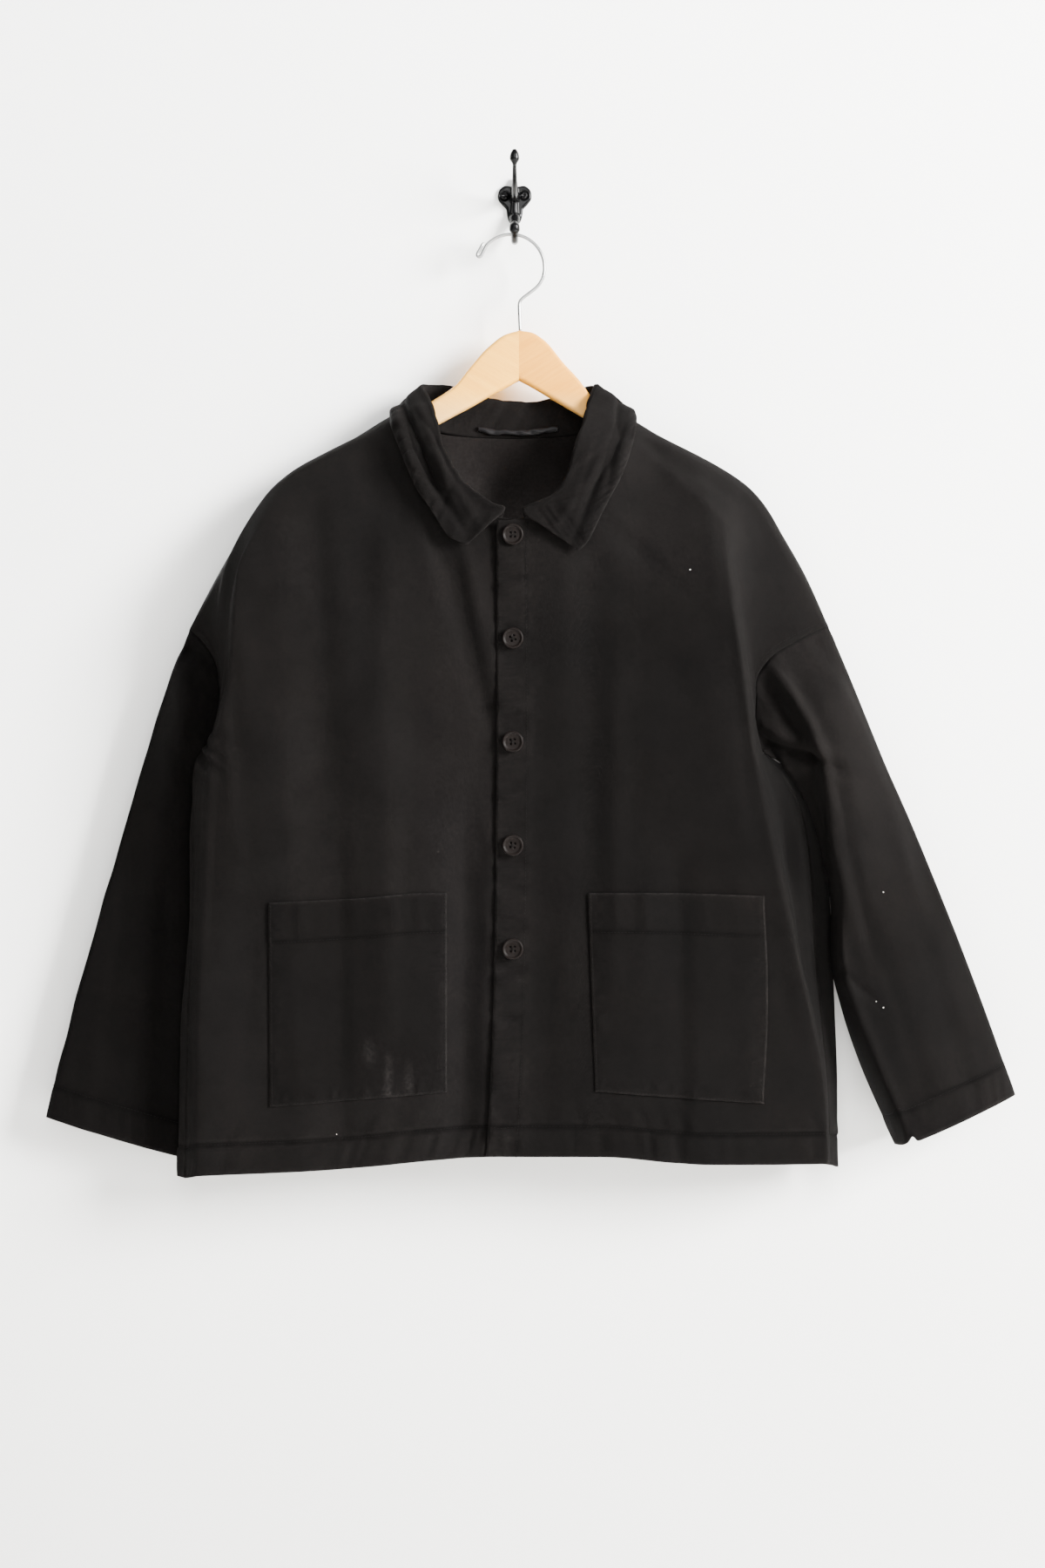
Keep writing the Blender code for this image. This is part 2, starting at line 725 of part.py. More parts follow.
def make_pocket(name, corners, outer):
    """The pocket is the panel's own outer points inside its outline, moved out."""
    bm = bmesh.new()
    rows, cols = outer.shape[:2]
    verts = [[bm.verts.new(p) for p in line] for line in outer]
    for r in range(rows - 1):
        for c in range(cols - 1):
            bm.faces.new((verts[r][c], verts[r][c + 1], verts[r + 1][c + 1]))
            bm.faces.new((verts[r][c], verts[r + 1][c + 1], verts[r + 1][c]))
    middle = Vector((sum(p[0] for p in corners) / 4, 0, sum(p[1] for p in corners) / 4))
    for i in range(4):
        a = Vector((corners[i][0], 0, corners[i][1]))
        b = Vector((corners[(i + 1) % 4][0], 0, corners[(i + 1) % 4][1]))
        side = (b - a).cross(Vector((0, 1, 0))).normalized()
        if (middle - a).dot(side) > 0:
            side = -side
        geometry = bm.verts[:] + bm.edges[:] + bm.faces[:]
        bmesh.ops.bisect_plane(bm, geom=geometry, plane_co=a, plane_no=side, clear_outer=True)
    bmesh.ops.remove_doubles(bm, verts=bm.verts, dist=0.02)
    bmesh.ops.triangulate(bm, faces=bm.faces)
    for vert in bm.verts:
        vert.co.y -= POCKET_LIFT
    made = bmesh.ops.extrude_face_region(bm, geom=bm.faces[:])
    for item in made["geom"]:
        if isinstance(item, bmesh.types.BMVert):
            item.co.y -= CLOTH
    bmesh.ops.scale(bm, vec=(MM, MM, MM), verts=bm.verts)
    return add_object(name, bm, CLOTH_DARK, 0.9)


def lathe(bm, profile, centre, sides):
    """Turns (radius, height) pairs about a line along Y; height runs towards -Y."""
    rings = []
    for radius, height in profile:
        count = 1 if radius == 0 else sides
        ring = []
        for i in range(count):
            a = 2 * math.pi * i / count
            offset = Vector((radius * math.cos(a), -height, radius * math.sin(a)))
            ring.append(bm.verts.new((Vector(centre) + offset) * MM))
        rings.append(ring)
    for a, b in zip(rings, rings[1:]):
        for i in range(sides):
            j = (i + 1) % sides
            if len(a) == 1:
                bm.faces.new((a[0], b[i], b[j]))
            elif len(b) == 1:
                bm.faces.new((a[i], a[j], b[0]))
            else:
                bm.faces.new((a[i], a[j], b[j], b[i]))


def cut(target, cutter):
    cutter.hide_render = True
    cutter.display_type = "WIRE"
    mod = target.modifiers.new("cut", "BOOLEAN")
    mod.operation = "DIFFERENCE"
    mod.solver = "EXACT"
    mod.object = cutter


def make_button(number, depth_at):
    z = FIRST_BUTTON_Z - BUTTON_STEP * (number - 1)
    radius = BUTTON_WIDE / 2
    turns = np.arange(8) * math.pi / 4
    reach = [(0, 0)] + [(radius * math.cos(a), radius * math.sin(a)) for a in turns]
    seat = min(depth_at(BUTTON_X + dx, z + dz) for dx, dz in reach) - SEAM_GAP
    bm = bmesh.new()
    profile = [
        (0, 0),
        (radius - 1.6, 0),
        (radius, 1.4),
        (radius, BUTTON_DEEP - 0.9),
        (radius - 0.9, BUTTON_DEEP),
        (BUTTON_WELL / 2 + 0.6, BUTTON_DEEP),
        (BUTTON_WELL / 2 - 0.5, BUTTON_DEEP - 1.0),
        (0, BUTTON_DEEP - 1.2),
    ]
    lathe(bm, profile, (BUTTON_X, seat, z), 18)
    button = add_object("button_%d" % number, bm, (0.012, 0.010, 0.010), 0.5)
    bm = bmesh.new()
    for dx in (-1.9, 1.9):
        for dz in (-1.9, 1.9):
            r = BUTTON_HOLE / 2
            lathe(bm, [(0, -1), (r, -1), (r, 5), (0, 5)], (BUTTON_X + dx, seat, z + dz), 6)
    holes = add_object("holes_%d" % number, bm, (0, 0, 0), 0.5)
    cut(button, holes)
    return button


def make_hang_loop():
    rows = []
    for share in np.linspace(0, 1, 13):
        x = -32 + 70 * share
        bow = math.sin(math.pi * share)
        y = -17.45 - 0.9 * bow
        z = -202.5 - 5.5 * bow
        rows.append([(x, y, z + 3), (x, y - 0.2, z), (x, y, z - 3)])
    outer = np.array(rows, float)
    inner = outer + np.array([0, 1.0, 0])
    return add_object("hang_loop", wall_mesh(outer, inner), (0.03, 0.028, 0.03), 0.45)


# ---- hanger ----
Station = namedtuple("Station", "x top bottom")
RIGHT_ARM = [
    Station(3.6, -120.0, -163.0),
    Station(-8, -123.5, -169.5),
    Station(-23, -134.5, -177.5),
    Station(-37, -150, -185.5),
    Station(-52, -168, -193.5),
    Station(-72, -181.5, -204.0),
    Station(-84, -190.0, -209.5),
    Station(-94, -197.0, -215.0),
    Station(-133, -213.6, -234.0),
    Station(-163, -228.4, -248.0),
    Station(-178, -236.4, -253.5),
    Station(-184, -241.0, -252.0),
]
LEFT_ARM = [
    Station(3.9, -120.0, -163.0),
    Station(14, -121.5, -168.5),
    Station(25, -128.0, -175.0),
    Station(43, -149.0, -185.5),
    Station(55, -162.0, -192.5),
    Station(66, -177.0, -199.0),
    Station(76, -189.0, -204.0),
    Station(88, -198.0, -210.5),
    Station(124, -213.6, -230.0),
    Station(152, -228.2, -246.0),
    Station(168, -236.6, -253.0),
    Station(175, -241.0, -251.5),
]


def make_arm(name, stations, colour):
    rings = []
    half = WOOD_DEEP / 2
    for i, s in enumerate(stations):
        tall = (s.top - s.bottom) / 2
        rounding = min(WOOD_ROUND, tall - 0.2)
        width = half * (0.8 if i == len(stations) - 1 else 1)
        points = []
        for quarter in range(4):
            for k in range(4):
                a = math.pi / 2 * (quarter + k / 3)
                cy = (width - rounding) * (1 if quarter in (0, 3) else -1)
                cz = (tall - rounding) * (1 if quarter < 2 else -1)
                y = HANGER_Y + cy + rounding * math.cos(a)
                z = (s.top + s.bottom) / 2 + cz + rounding * math.sin(a)
                points.append((s.x, y, z))
        rings.append(points)
    bm = bmesh.new()
    rings = [[bm.verts.new(Vector(p) * MM) for p in ring] for ring in rings]
    count = len(rings[0])
    for a, b in zip(rings, rings[1:]):
        for i in range(count):
            j = (i + 1) % count
            bm.faces.new((a[i], a[j], b[j], b[i]))
    bm.faces.new(rings[0])
    bm.faces.new(rings[-1])
    bmesh.ops.triangulate(bm, faces=bm.faces)
    return add_object(name, bm, colour, 0.5)


def tube(bm, path, radii, guide, sides=12):
    """A closed round bar through a flat path; guide stands square to the path's plane."""
    path = [Vector(p) for p in path]
    rings = []
    for i, p in enumerate(path):
        way = (path[min(i + 1, len(path) - 1)] - path[max(i - 1, 0)]).normalized()
        side = way.cross(guide).normalized()
        other = way.cross(side)
        ring = []
        for k in range(sides):
            a = 2 * math.pi * k / sides
            ring.append(bm.verts.new((p + (side * math.cos(a) + other * math.sin(a)) * radii[i]) * MM))
        rings.append(ring)
    for a, b in zip(rings, rings[1:]):
        for i in range(sides):
            j = (i + 1) % sides
            bm.faces.new((a[i], a[j], b[j], b[i]))
    bm.faces.new(rings[0])
    bm.faces.new(rings[-1])


def make_wire():
    centre = Vector((-3.0, HANGER_Y, -65.6))
    radius = 28.6
    stem = [(4.8, -119.6), (4.2, -106), (3.6, -98), (6.5, -92.5), (15, -86), (21.5, -79.5)]
    path = [(x, HANGER_Y, z) for x, z in stem]
    for k in range(13):
        a = math.radians(-14 + 159 * k / 12)
        path.append(tuple(centre + Vector((math.cos(a), 0, math.sin(a))) * radius))
    path.append((-30.5, HANGER_Y, -54.5))
    path.append((-32.4, HANGER_Y, -59.5))
    radii = [WIRE / 2] * (len(path) - 3) + [WIRE / 2, 2.4, 2.2]
    bm = bmesh.new()
    tube(bm, path, radii, Vector((0, 1, 0)))
    return add_object("hanger_hook", bm, (0.62, 0.62, 0.60), 0.28, 1.0)


def union(target, others):
    for other in others:
        other.hide_render = True
        other.display_type = "WIRE"
        mod = target.modifiers.new("join", "BOOLEAN")
        mod.operation = "UNION"
        mod.solver = "EXACT"
        mod.object = other


# ---- wall hook: the plate's outline as reach from its middle, and the prongs' bars ----
Lobe = namedtuple("Lobe", "angle reach")
PLATE_LOBES = [
    Lobe(0, 17.6),
    Lobe(22, 18.2),
    Lobe(45, 16.8),
    Lobe(68, 13.0),
    Lobe(90, 11.2),
    Lobe(112, 13.0),
    Lobe(135, 16.8),
    Lobe(158, 18.2),
    Lobe(180, 17.6),
    Lobe(205, 14.6),
    Lobe(228, 13.6),
    Lobe(243, 18.0),
    Lobe(256, 23.6),
    Lobe(270, 26.6),
    Lobe(284, 23.6),
    Lobe(297, 18.0),
    Lobe(312, 13.6),
    Lobe(335, 14.6),
]
Bar = namedtuple("Bar", "y z radius")
UPPER_PRONG = [
    Bar(-0.8, 0, 5.0),
    Bar(-4, 0, 4.6),
    Bar(-10, -0.6, 3.8),
    Bar(-20, 0, 3.0),
    Bar(-34, 4, 2.4),
    Bar(-46, 12, 2.0),
    Bar(-52, 18, 1.8),
    Bar(-54, 22, 2.2),
    Bar(-55, 26, 4.2),
    Bar(-55.5, 29, 3.6),
    Bar(-56, 35, 1.0),
]
LOWER_PRONG = [
    Bar(-0.8, -17, 4.6),
    Bar(-3.4, -17, 4.6),
    Bar(-7, -22, 4.0),
    Bar(-13, -33, 3.4),
    Bar(-22, -41.4, 3.2),
    Bar(-30, -42.05, 3.0),
    Bar(-36, -40, 2.8),
    Bar(-39.5, -37, 3.0),
    Bar(-41, -34, 3.8),
    Bar(-42, -30.5, 3.4),
    Bar(-42.6, -27, 1.2),
]


def make_wall_hook():
    iron = (0.012, 0.012, 0.013)
    outline = []
    bm = bmesh.new()
    for lobe in PLATE_LOBES:
        a = math.radians(lobe.angle)
        outline.append((lobe.reach * math.cos(a) * 0.84, lobe.reach * math.sin(a) * 0.9))
    levels = [(1.0, 0.0), (1.0, -PLATE_DEEP + 1.0), (0.9, -PLATE_DEEP)]
    rings = [[bm.verts.new(Vector((x * s, y, z * s)) * MM) for x, z in outline] for s, y in levels]
    for a, b in zip(rings, rings[1:]):
        for i in range(len(outline)):
            j = (i + 1) % len(outline)
            bm.faces.new((a[i], a[j], b[j], b[i]))
    bm.faces.new(rings[0])
    bm.faces.new(rings[-1])
    plate = add_object("wall_hook", bm, iron, 0.4, 0.6)
    pieces = []
    for name, bars in (("upper_prong", UPPER_PRONG), ("lower_prong", LOWER_PRONG)):
        bm = bmesh.new()
        tube(bm, [(0, b.y, b.z) for b in bars], [b.radius for b in bars], Vector((1, 0, 0)), 14)
        pieces.append(add_object(name, bm, iron, 0.4, 0.6))
    union(plate, pieces)
    return plate


def make_screw(name, x, z):
    bm = bmesh.new()
    r = SCREW_HEAD / 2
    y = -PLATE_DEEP - 0.1
    lathe(bm, [(0, 0), (r, 0), (r * 0.9, 0.8), (r * 0.55, 1.5), (0, 1.8)], (x, y, z), 16)
    return add_object(name, bm, (0.02, 0.02, 0.022), 0.35, 0.8)


def share_normals(first, second):
    """Two neighbours' normals drawn together where they nearly agree, apart at a sharp fold."""
    share = min(max((float(first @ second) - 0.6) / 0.3, 0), 1) * 0.5
    a = first * (1 - share) + second * share
    b = second * (1 - share) + first * share
    return a / np.linalg.norm(a), b / np.linalg.norm(b)


def make_sleeves(grids, normals):
    """Both sleeves, their armhole rings sharing normals with the body panels they are sewn to."""
    rows = ROWS_ABOVE + 1
    sleeves = {}
    for side, table, col in (("left", LEFT_SLEEVE, -1), ("right", RIGHT_SLEEVE, 0)):
        front = "front_" + side
        grid, bent = make_sleeve(table, grids[front][:rows, -1], grids["back"][:rows, col])
        count = len(bent[0])
        for panel, edge in ((front, -1), ("back", col)):
            for i in range(rows):
                k = i if panel == front else (-i) % count
                if i == 0:
                    normals[panel][i, edge] = bent[0][k] = normals[front][0, -1].copy()
                    continue
                body, arm = share_normals(normals[panel][i, edge], bent[0][k])
                normals[panel][i, edge] = body
                if i < rows - 1:
                    bent[0][k] = arm
        sleeves["sleeve_" + side] = (grid, bent)
    return sleeves


def build():
    clear_scene()
    grids, normals = make_body()
    sleeves = make_sleeves(grids, normals)
    outers = {}
    for name in grids:
        obj, outer = finish_panel(name, grids[name], normals[name])
        outers[name] = outer
    for name, (grid, sleeve_n) in sleeves.items():
        outer = grid.copy()
        inner = grid - sleeve_n * CLOTH
        for sheet in (outer, inner):
            sheet[0] = pull_in(sheet[0], sheet[1], SEAM_GAP)
        add_object(name, wall_mesh(outer, inner, ring=True), CLOTH_DARK, 0.9)
    make_collar([surface_tree(outers[n], -1 if n != "back" else 1) for n in outers])
    make_pocket("pocket_left", LEFT_POCKET, outers["front_left"])
    make_pocket("pocket_right", RIGHT_POCKET, outers["front_right"])
    tree = surface_tree(outers["front_left"], -1)

    def depth_at(x, z):
        return tree.ray_cast(Vector((x, -200, z)), Vector((0, 1, 0)))[0].y

    for number in range(1, BUTTONS + 1):
        make_button(number, depth_at)
    make_hang_loop()
    make_arm("hanger_arm_right", RIGHT_ARM, (0.66, 0.44, 0.24))
    make_arm("hanger_arm_left", LEFT_ARM, (0.66, 0.42, 0.25))
    make_wire()
    make_wall_hook()
    make_screw("screw_right", -9.0, 2.0)
    make_screw("screw_left", 8.0, 2.6)


build()
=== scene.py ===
import math

import bmesh
import bpy
import numpy as np
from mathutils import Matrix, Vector
from mathutils.bvhtree import BVHTree


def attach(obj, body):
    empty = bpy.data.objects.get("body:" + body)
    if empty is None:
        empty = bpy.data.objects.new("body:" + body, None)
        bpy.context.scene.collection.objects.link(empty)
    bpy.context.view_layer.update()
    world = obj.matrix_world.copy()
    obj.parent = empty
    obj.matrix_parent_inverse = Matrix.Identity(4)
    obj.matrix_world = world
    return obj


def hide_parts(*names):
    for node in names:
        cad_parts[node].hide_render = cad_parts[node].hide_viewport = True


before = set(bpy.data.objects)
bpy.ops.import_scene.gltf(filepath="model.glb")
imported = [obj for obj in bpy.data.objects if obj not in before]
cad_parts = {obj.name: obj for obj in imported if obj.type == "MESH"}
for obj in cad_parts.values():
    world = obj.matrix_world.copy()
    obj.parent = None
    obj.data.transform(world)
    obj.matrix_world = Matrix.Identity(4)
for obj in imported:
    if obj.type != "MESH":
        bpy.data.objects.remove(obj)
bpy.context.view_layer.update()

# ---- Back and fronts ----
# The overshirt's body: a one-piece back and two fronts of brown-black cotton twill, sewn at
# shoulders and sides, with a turned and stitched front band and a deep stitched hem.
# Every size here is in millimetres; left and right are the wearer's.
MM = 0.001
CLOTH = 1.1
SEAM_GAP = 0.1
HEM_DEEP = 27.5
BAND_WIDE = 27.0
# Rows of thread lie this far inside a fold's edge, the band's edge, an armhole and a side.
HEM_THREAD = 1.6
BAND_THREAD = 1.4
ARMHOLE_THREAD = 5.6
SIDE_THREAD = 1.8
UNDERARM_UP = 372
BUTTONS = 5
BUTTON_TOP = -300.0
BUTTON_STEP = 87.2
ROWS_ABOVE = 96
ROWS_BELOW = 160
FRONT_COLUMNS = 118
BACK_COLUMNS = 132
ROW_CROWD = 0.62
FOLD_OVER = 10.0
TOP_CROWD = [2.2, 2.2, 2.2, 2.2, 1.6, 1.15]
BACK_CROWD = [1.15, 1.6, 2.2, 2.2, 2.2, 2.2, 2.2, 1.6, 1.15]

# Top edges, as (u, x, y, z): neck seam, shoulder, armhole; u counts the guide lines.
LEFT_TOP = [
    (0.00, -15, -80, -288), (0.55, 25, -80, -284), (1.00, 62, -74, -258), (1.25, 76, -58, -219),
    (1.40, 82, -43, -200), (1.50, 86, -30, -190), (2.00, 124, -30, -210), (2.50, 152, -30, -225),
    (3.00, 181, -30, -240), (3.33, 202, -30, -255), (3.66, 216, -30, -271), (4.00, 229, -30, -293),
    (4.50, 250, -30, -330), (5.00, 270, -30, -374),
]
RIGHT_TOP = [
    (0.00, 11, -76, -288), (0.40, -16, -76.4, -285), (0.70, -38, -78, -276), (1.00, -60, -74, -257),
    (1.25, -81, -58, -218), (1.40, -90, -43, -199), (1.50, -94, -30, -189), (2.00, -133, -30, -210),
    (2.50, -163, -30, -225), (3.00, -190, -30, -240), (3.33, -208, -30, -255),
    (3.66, -220, -30, -271), (4.00, -238, -30, -300), (4.50, -257, -30, -333),
    (5.00, -280, -30, -377),
]
BACK_TOP = [
    (0.0, -280, -29.7, -377), (0.5, -268, -29.7, -354), (1.0, -256, -29.7, -331),
    (1.5, -238, -29.7, -300), (2.0, -219, -29.7, -270), (2.3, -208, -29.7, -255),
    (2.5, -190, -29.7, -240), (3.0, -140, -29.7, -213.5), (3.4, -94, -29.7, -189),
    (3.48, -89, -21.5, -195.5), (3.65, -69, -16, -206), (3.83, -33, -14.4, -210.4),
    (4.0, -1, -14, -211), (4.17, 31, -14.4, -210.4), (4.35, 64, -16, -206),
    (4.52, 82, -21.5, -194.5), (4.6, 86, -29.7, -190), (5.0, 124, -29.7, -210),
    (5.5, 181, -29.7, -240), (5.7, 202, -29.7, -255), (6.0, 216, -29.7, -271),
    (6.5, 233, -29.7, -300), (7.0, 250, -29.7, -330), (8.0, 270, -29.7, -374),
]
# Guide lines down each panel, from the top edge to underarm height; each goes on to the hem from
# where it ends, by the lower line of the same number.
LEFT_UPPER = [
    [(-15, -80, -288), (-15, -79, -350), (-15, -78, -420), (-15, -78, -482)],
    [(62, -74, -258), (68, -80, -320), (72, -82, -400), (74, -82, -482)],
    [(124, -40, -210), (130, -72, -290), (134, -84, -390), (136, -85, -482)],
    [(181, -40, -240), (177, -70, -294), (180, -84, -346), (187, -88, -396), (199, -88, -482)],
    [(229, -40, -293), (205, -52, -330), (196, -60, -365), (200, -62, -420), (209, -64, -482)],
    [(270, -30, -374), (241, -42, -388), (218, -48, -403), (206, -50, -425), (206, -48, -458),
     (212, -46, -482)],
]
LEFT_LOWER = [
    [(-17, -78, -657), (-22, -79, -796), (-24, -80, -824)],
    [(74, -82, -600), (74, -81, -740), (74, -82, -824)],
    [(142, -85, -600), (150, -84, -740), (154, -84, -830)],
    [(205, -88, -514), (217, -88, -575), (234, -87, -650), (249, -82, -708),
     (258, -76, -745), (263, -73, -790), (264, -72, -831)],
    [(221, -66, -514), (236, -66, -576), (247, -66, -650), (257, -66, -709),
     (263, -65, -742), (266, -64, -790), (267, -63, -831)],
    [(230, -46, -503), (244, -46, -532), (252, -46, -576), (256, -48, -653),
     (262, -52, -718), (267, -56, -785), (268, -56, -833)],
]
RIGHT_UPPER = [
    [(11, -76, -288), (11, -75, -350), (11, -74, -420), (11, -74, -480)],
    [(-60, -74, -257), (-64, -80, -320), (-66, -81, -400), (-68, -81, -480)],
    [(-133, -40, -210), (-138, -70, -290), (-142, -82, -390), (-146, -84, -481)],
    [(-190, -40, -240), (-215, -64, -288), (-232, -74, -326), (-236, -80, -380),
     (-238, -80, -418), (-247, -78, -452), (-257, -73, -482)],
    [(-238, -40, -300), (-249, -52, -335), (-244, -60, -385), (-244, -64, -418),
     (-251, -64, -452), (-263, -59, -482)],
    [(-280, -30, -377), (-265, -38, -391), (-254, -44, -413), (-252, -47, -436),
     (-257, -47, -459), (-261, -46, -472), (-268, -43, -482)],
]
RIGHT_LOWER = [
    [(11, -74, -657), (6, -75, -796), (4, -76, -823)],
    [(-66, -80, -600), (-66, -79, -740), (-66, -79, -827)],
    [(-148, -83, -600), (-150, -82, -740), (-152, -81, -835)],
    [(-258, -75, -520), (-261, -76, -600), (-267, -76, -719), (-268, -76, -841)],
    [(-266, -65, -520), (-268, -68, -600), (-274, -68, -719), (-275, -68, -843)],
    [(-273, -46, -491), (-275, -51, -510), (-274, -55, -545), (-274, -57, -600),
     (-278, -58, -719), (-280, -58, -845)],
]
BACK_UPPER = [
    [(-280, -29.7, -377), (-270, -22, -397), (-262, -20, -420), (-259, -24, -445),
     (-259, -30, -468), (-268, -43, -482)],
    [(-256, -21, -331), (-250, -17, -390), (-246, -18, -435), (-252, -31, -481)],
    [(-219, -20, -270), (-216, -14, -350), (-220, -14, -430), (-232, -24, -481)],
    [(-140, -20, -213.5), (-134, -14, -300), (-130, -12, -400), (-130, -13, -480)],
    [(-1, -14, -211), (0, -12, -300), (0, -10, -400), (0, -10, -480)],
    [(124, -20, -210), (128, -14, -300), (130, -12, -400), (130, -12, -480)],
    [(216, -20, -271), (200, -14, -350), (196, -14, -430), (196, -18, -481)],
    [(250, -21, -330), (234, -17, -390), (214, -18, -440), (207, -27, -481)],
    [(270, -29.7, -374), (255, -22, -397), (238, -20, -425), (225, -28, -456), (220, -35, -470),
     (212, -46, -482)],
]
BACK_LOWER = [
    RIGHT_LOWER[5],
    [(-267, -40, -499), (-275, -44, -522), (-278, -45, -560), (-278, -45, -616),
     (-281, -45, -662), (-286, -44, -720), (-288, -44, -845)],
    [(-237, -33, -530), (-238, -37, -700), (-238, -38, -843)],
    [(-130, -14, -600), (-132, -14, -700), (-135, -15, -838)],
    [(0, -9, -600), (0, -9, -740), (0, -9, -828)],
    [(134, -12, -600), (138, -13, -740), (140, -13, -832)],
    [(226, -16, -560), (236, -17, -700), (240, -18, -836)],
    [(238, -25, -499), (258, -22, -528), (269, -22, -570), (273, -23, -625),
     (275, -26, -690), (277, -34, -770), (277, -38, -838)],
    LEFT_LOWER[5],
]
# Puckers across the front band between the buttons, as (z, depth, slant).
BAND_PUCKERS = [
    (-337, 0.5, 0.05), (-349, 1.0, 0.02), (-366, 0.8, -0.06), (-414, 1.1, 0.03), (-427, 0.6, -0.08),
    (-447, 1.5, 0.10), (-508, 0.9, -0.04), (-525, 1.1, 0.05), (-585, 1.0, 0.02), (-596, 0.7, 0.08),
    (-624, 1.1, -0.05), (-667, 0.8, 0.06), (-706, 1.1, -0.03), (-725, 0.8, 0.08), (-743, 1.0, 0.0),
    (-762, 0.8, -0.08),
]
# Soft folds, as (x1, z1, x2, z2, width, depth): a trough is positive, a ridge negative.
LARGE_FOLDS = [
    (-176, -260, -160, -480, 20, 4), (-160, -480, -142, -830, 22, 3.4),
    (-110, -330, -105, -700, 18, -3), (-65, -300, -28, -440, 10, 5), (-38, -560, -42, -800, 16, 6),
    (64, -330, 64, -660, 15, 2.8), (72, -285, 124, -330, 9, 1.8), (138, -590, 140, -825, 16, 3),
]
FINE_FOLDS = [
    (-167, -287, -161, -392, 9, 1.6), (-146, -560, -144, -790, 6, 1.0),
    (-136, -590, -135, -800, 8, -0.9), (-198, -300, -194, -520, 12, -1.6),
    (-222, -520, -226, -760, 10, 1.4), (-190, -560, -182, -800, 9, -1.2),
    (-92, -560, -96, -770, 9, 1.3), (-48, -330, -22, -452, 5, 1.8), (-40, -318, -12, -430, 5, -1.6),
    (-22, -600, -27, -815, 6, -1.5), (-120, -280, -128, -420, 10, 1.2),
    (141, -640, 144, -826, 6, 0.7), (150, -600, 152, -820, 8, -0.9), (104, -420, 98, -640, 11, 1.3),
    (84, -430, 82, -650, 8, -1.2), (120, -640, 116, -800, 9, 1.2), (104, -300, 158, -352, 6, -0.9),
    (104, -214, 176, -258, 6, 2.2), (112, -226, 164, -276, 5, -1.4), (52, -300, 128, -410, 8, 1.0),
    (163, -268, 190, -410, 9, -1.3), (176, -330, 196, -520, 6, 1.4), (224, -486, 238, -572, 9, 7),
    (238, -572, 249, -650, 8, 7), (249, -650, 259, -716, 5, 4), (206, -560, 230, -700, 7, 1.3),
    (190, -600, 200, -770, 9, -1.2), (30, -640, 26, -800, 8, 1.0), (-250, -500, -256, -620, 6, 1.6),
    (-243, -470, -232, -560, 5, -1.4), (-236, -420, -232, -520, 6, 1.5),
    (-30, -560, -20, -610, 5, 1.0),
]
BACK_FOLDS = [
    (-150, -250, -140, -560, 18, -5), (-60, -240, -50, -620, 16, 3), (70, -240, 60, -600, 18, -3.5),
    (160, -270, 150, -640, 16, -5), (-96, -480, -104, -830, 14, -4), (20, -420, 26, -830, 15, 3.5),
    (110, -520, 118, -830, 13, -4), (-190, -560, -196, -830, 12, 3), (196, -560, 204, -830, 12, 3),
    (-14, -240, -10, -420, 10, -2), (-205, -330, -240, -470, 8, -3), (190, -340, 212, -470, 8, -3),
    (-180, -300, -236, -450, 5, 2), (172, -300, 206, -448, 5, 2),
]


def smooth(knots, values, at):
    """Piecewise cubic through the values with no overshoot between them."""
    knots = np.asarray(knots, float)
    values = np.asarray(values, float)
    at = np.clip(np.asarray(at, float), knots[0], knots[-1])
    step = np.diff(knots)
    slope = np.diff(values) / step
    tangent = np.zeros(len(knots))
    tangent[0] = slope[0]
    tangent[-1] = slope[-1]
    for i in range(1, len(knots) - 1):
        if slope[i - 1] * slope[i] > 0:
            w1 = 2 * step[i] + step[i - 1]
            w2 = step[i] + 2 * step[i - 1]
            tangent[i] = (w1 + w2) / (w1 / slope[i - 1] + w2 / slope[i])
    k = np.clip(np.searchsorted(knots, at, side="right") - 1, 0, len(step) - 1)
    t = (at - knots[k]) / step[k]
    a = values[k] * (1 + 2 * t) * (1 - t) ** 2 + values[k + 1] * t * t * (3 - 2 * t)
    return a + step[k] * (tangent[k] * t * (1 - t) ** 2 - tangent[k + 1] * t * t * (1 - t))


def along(points, at):
    """Points spaced by their own distance, read at shares 0 to 1 of the length."""
    points = np.asarray(points, float)
    run = np.concatenate([[0], np.cumsum(np.linalg.norm(np.diff(points, axis=0), axis=1))])
    return np.stack([smooth(run / run[-1], points[:, k], at) for k in range(3)], axis=-1)


def fold_relief(x, z, folds):
    """How deep a set of straight soft folds presses at each point."""
    total = np.zeros_like(x)
    for x1, z1, x2, z2, wide, deep in folds:
        dx, dz = x2 - x1, z2 - z1
        run = dx * dx + dz * dz
        t = ((x - x1) * dx + (z - z1) * dz) / run
        off = ((x - x1) * dz - (z - z1) * dx) / math.sqrt(run)
        past = np.maximum(np.maximum(-t, t - 1), 0) * math.sqrt(run)
        total += deep * np.exp(-((off / wide) ** 2) - (past / 30) ** 2)
    return total


def uneven(at, pitch, seed):
    """A wave between -1 and 1 whose humps differ in height and spacing."""
    values = np.random.default_rng(seed).uniform(-1, 1, 4000)
    t = (at + 900) / (pitch * 0.55)
    t = t + 0.35 * np.sin(at / (pitch * 2.3) + seed)
    k = np.floor(t).astype(int) % 3990
    f = t - np.floor(t)
    f = f * f * (3 - 2 * f)
    return values[k] * (1 - f) + values[k + 1] * f


def step_at(value, edge, soft):
    """0 below the edge, 1 above it, over a soft width."""
    t = np.clip((value - edge) / soft + 0.5, 0, 1)
    return t * t * (3 - 2 * t)


def hump(value, middle, wide, power=2):
    """1 at the middle, fading to 0 over a width on both sides; power 4 has a flatter top."""
    return np.exp(-(((value - middle) / wide) ** power))


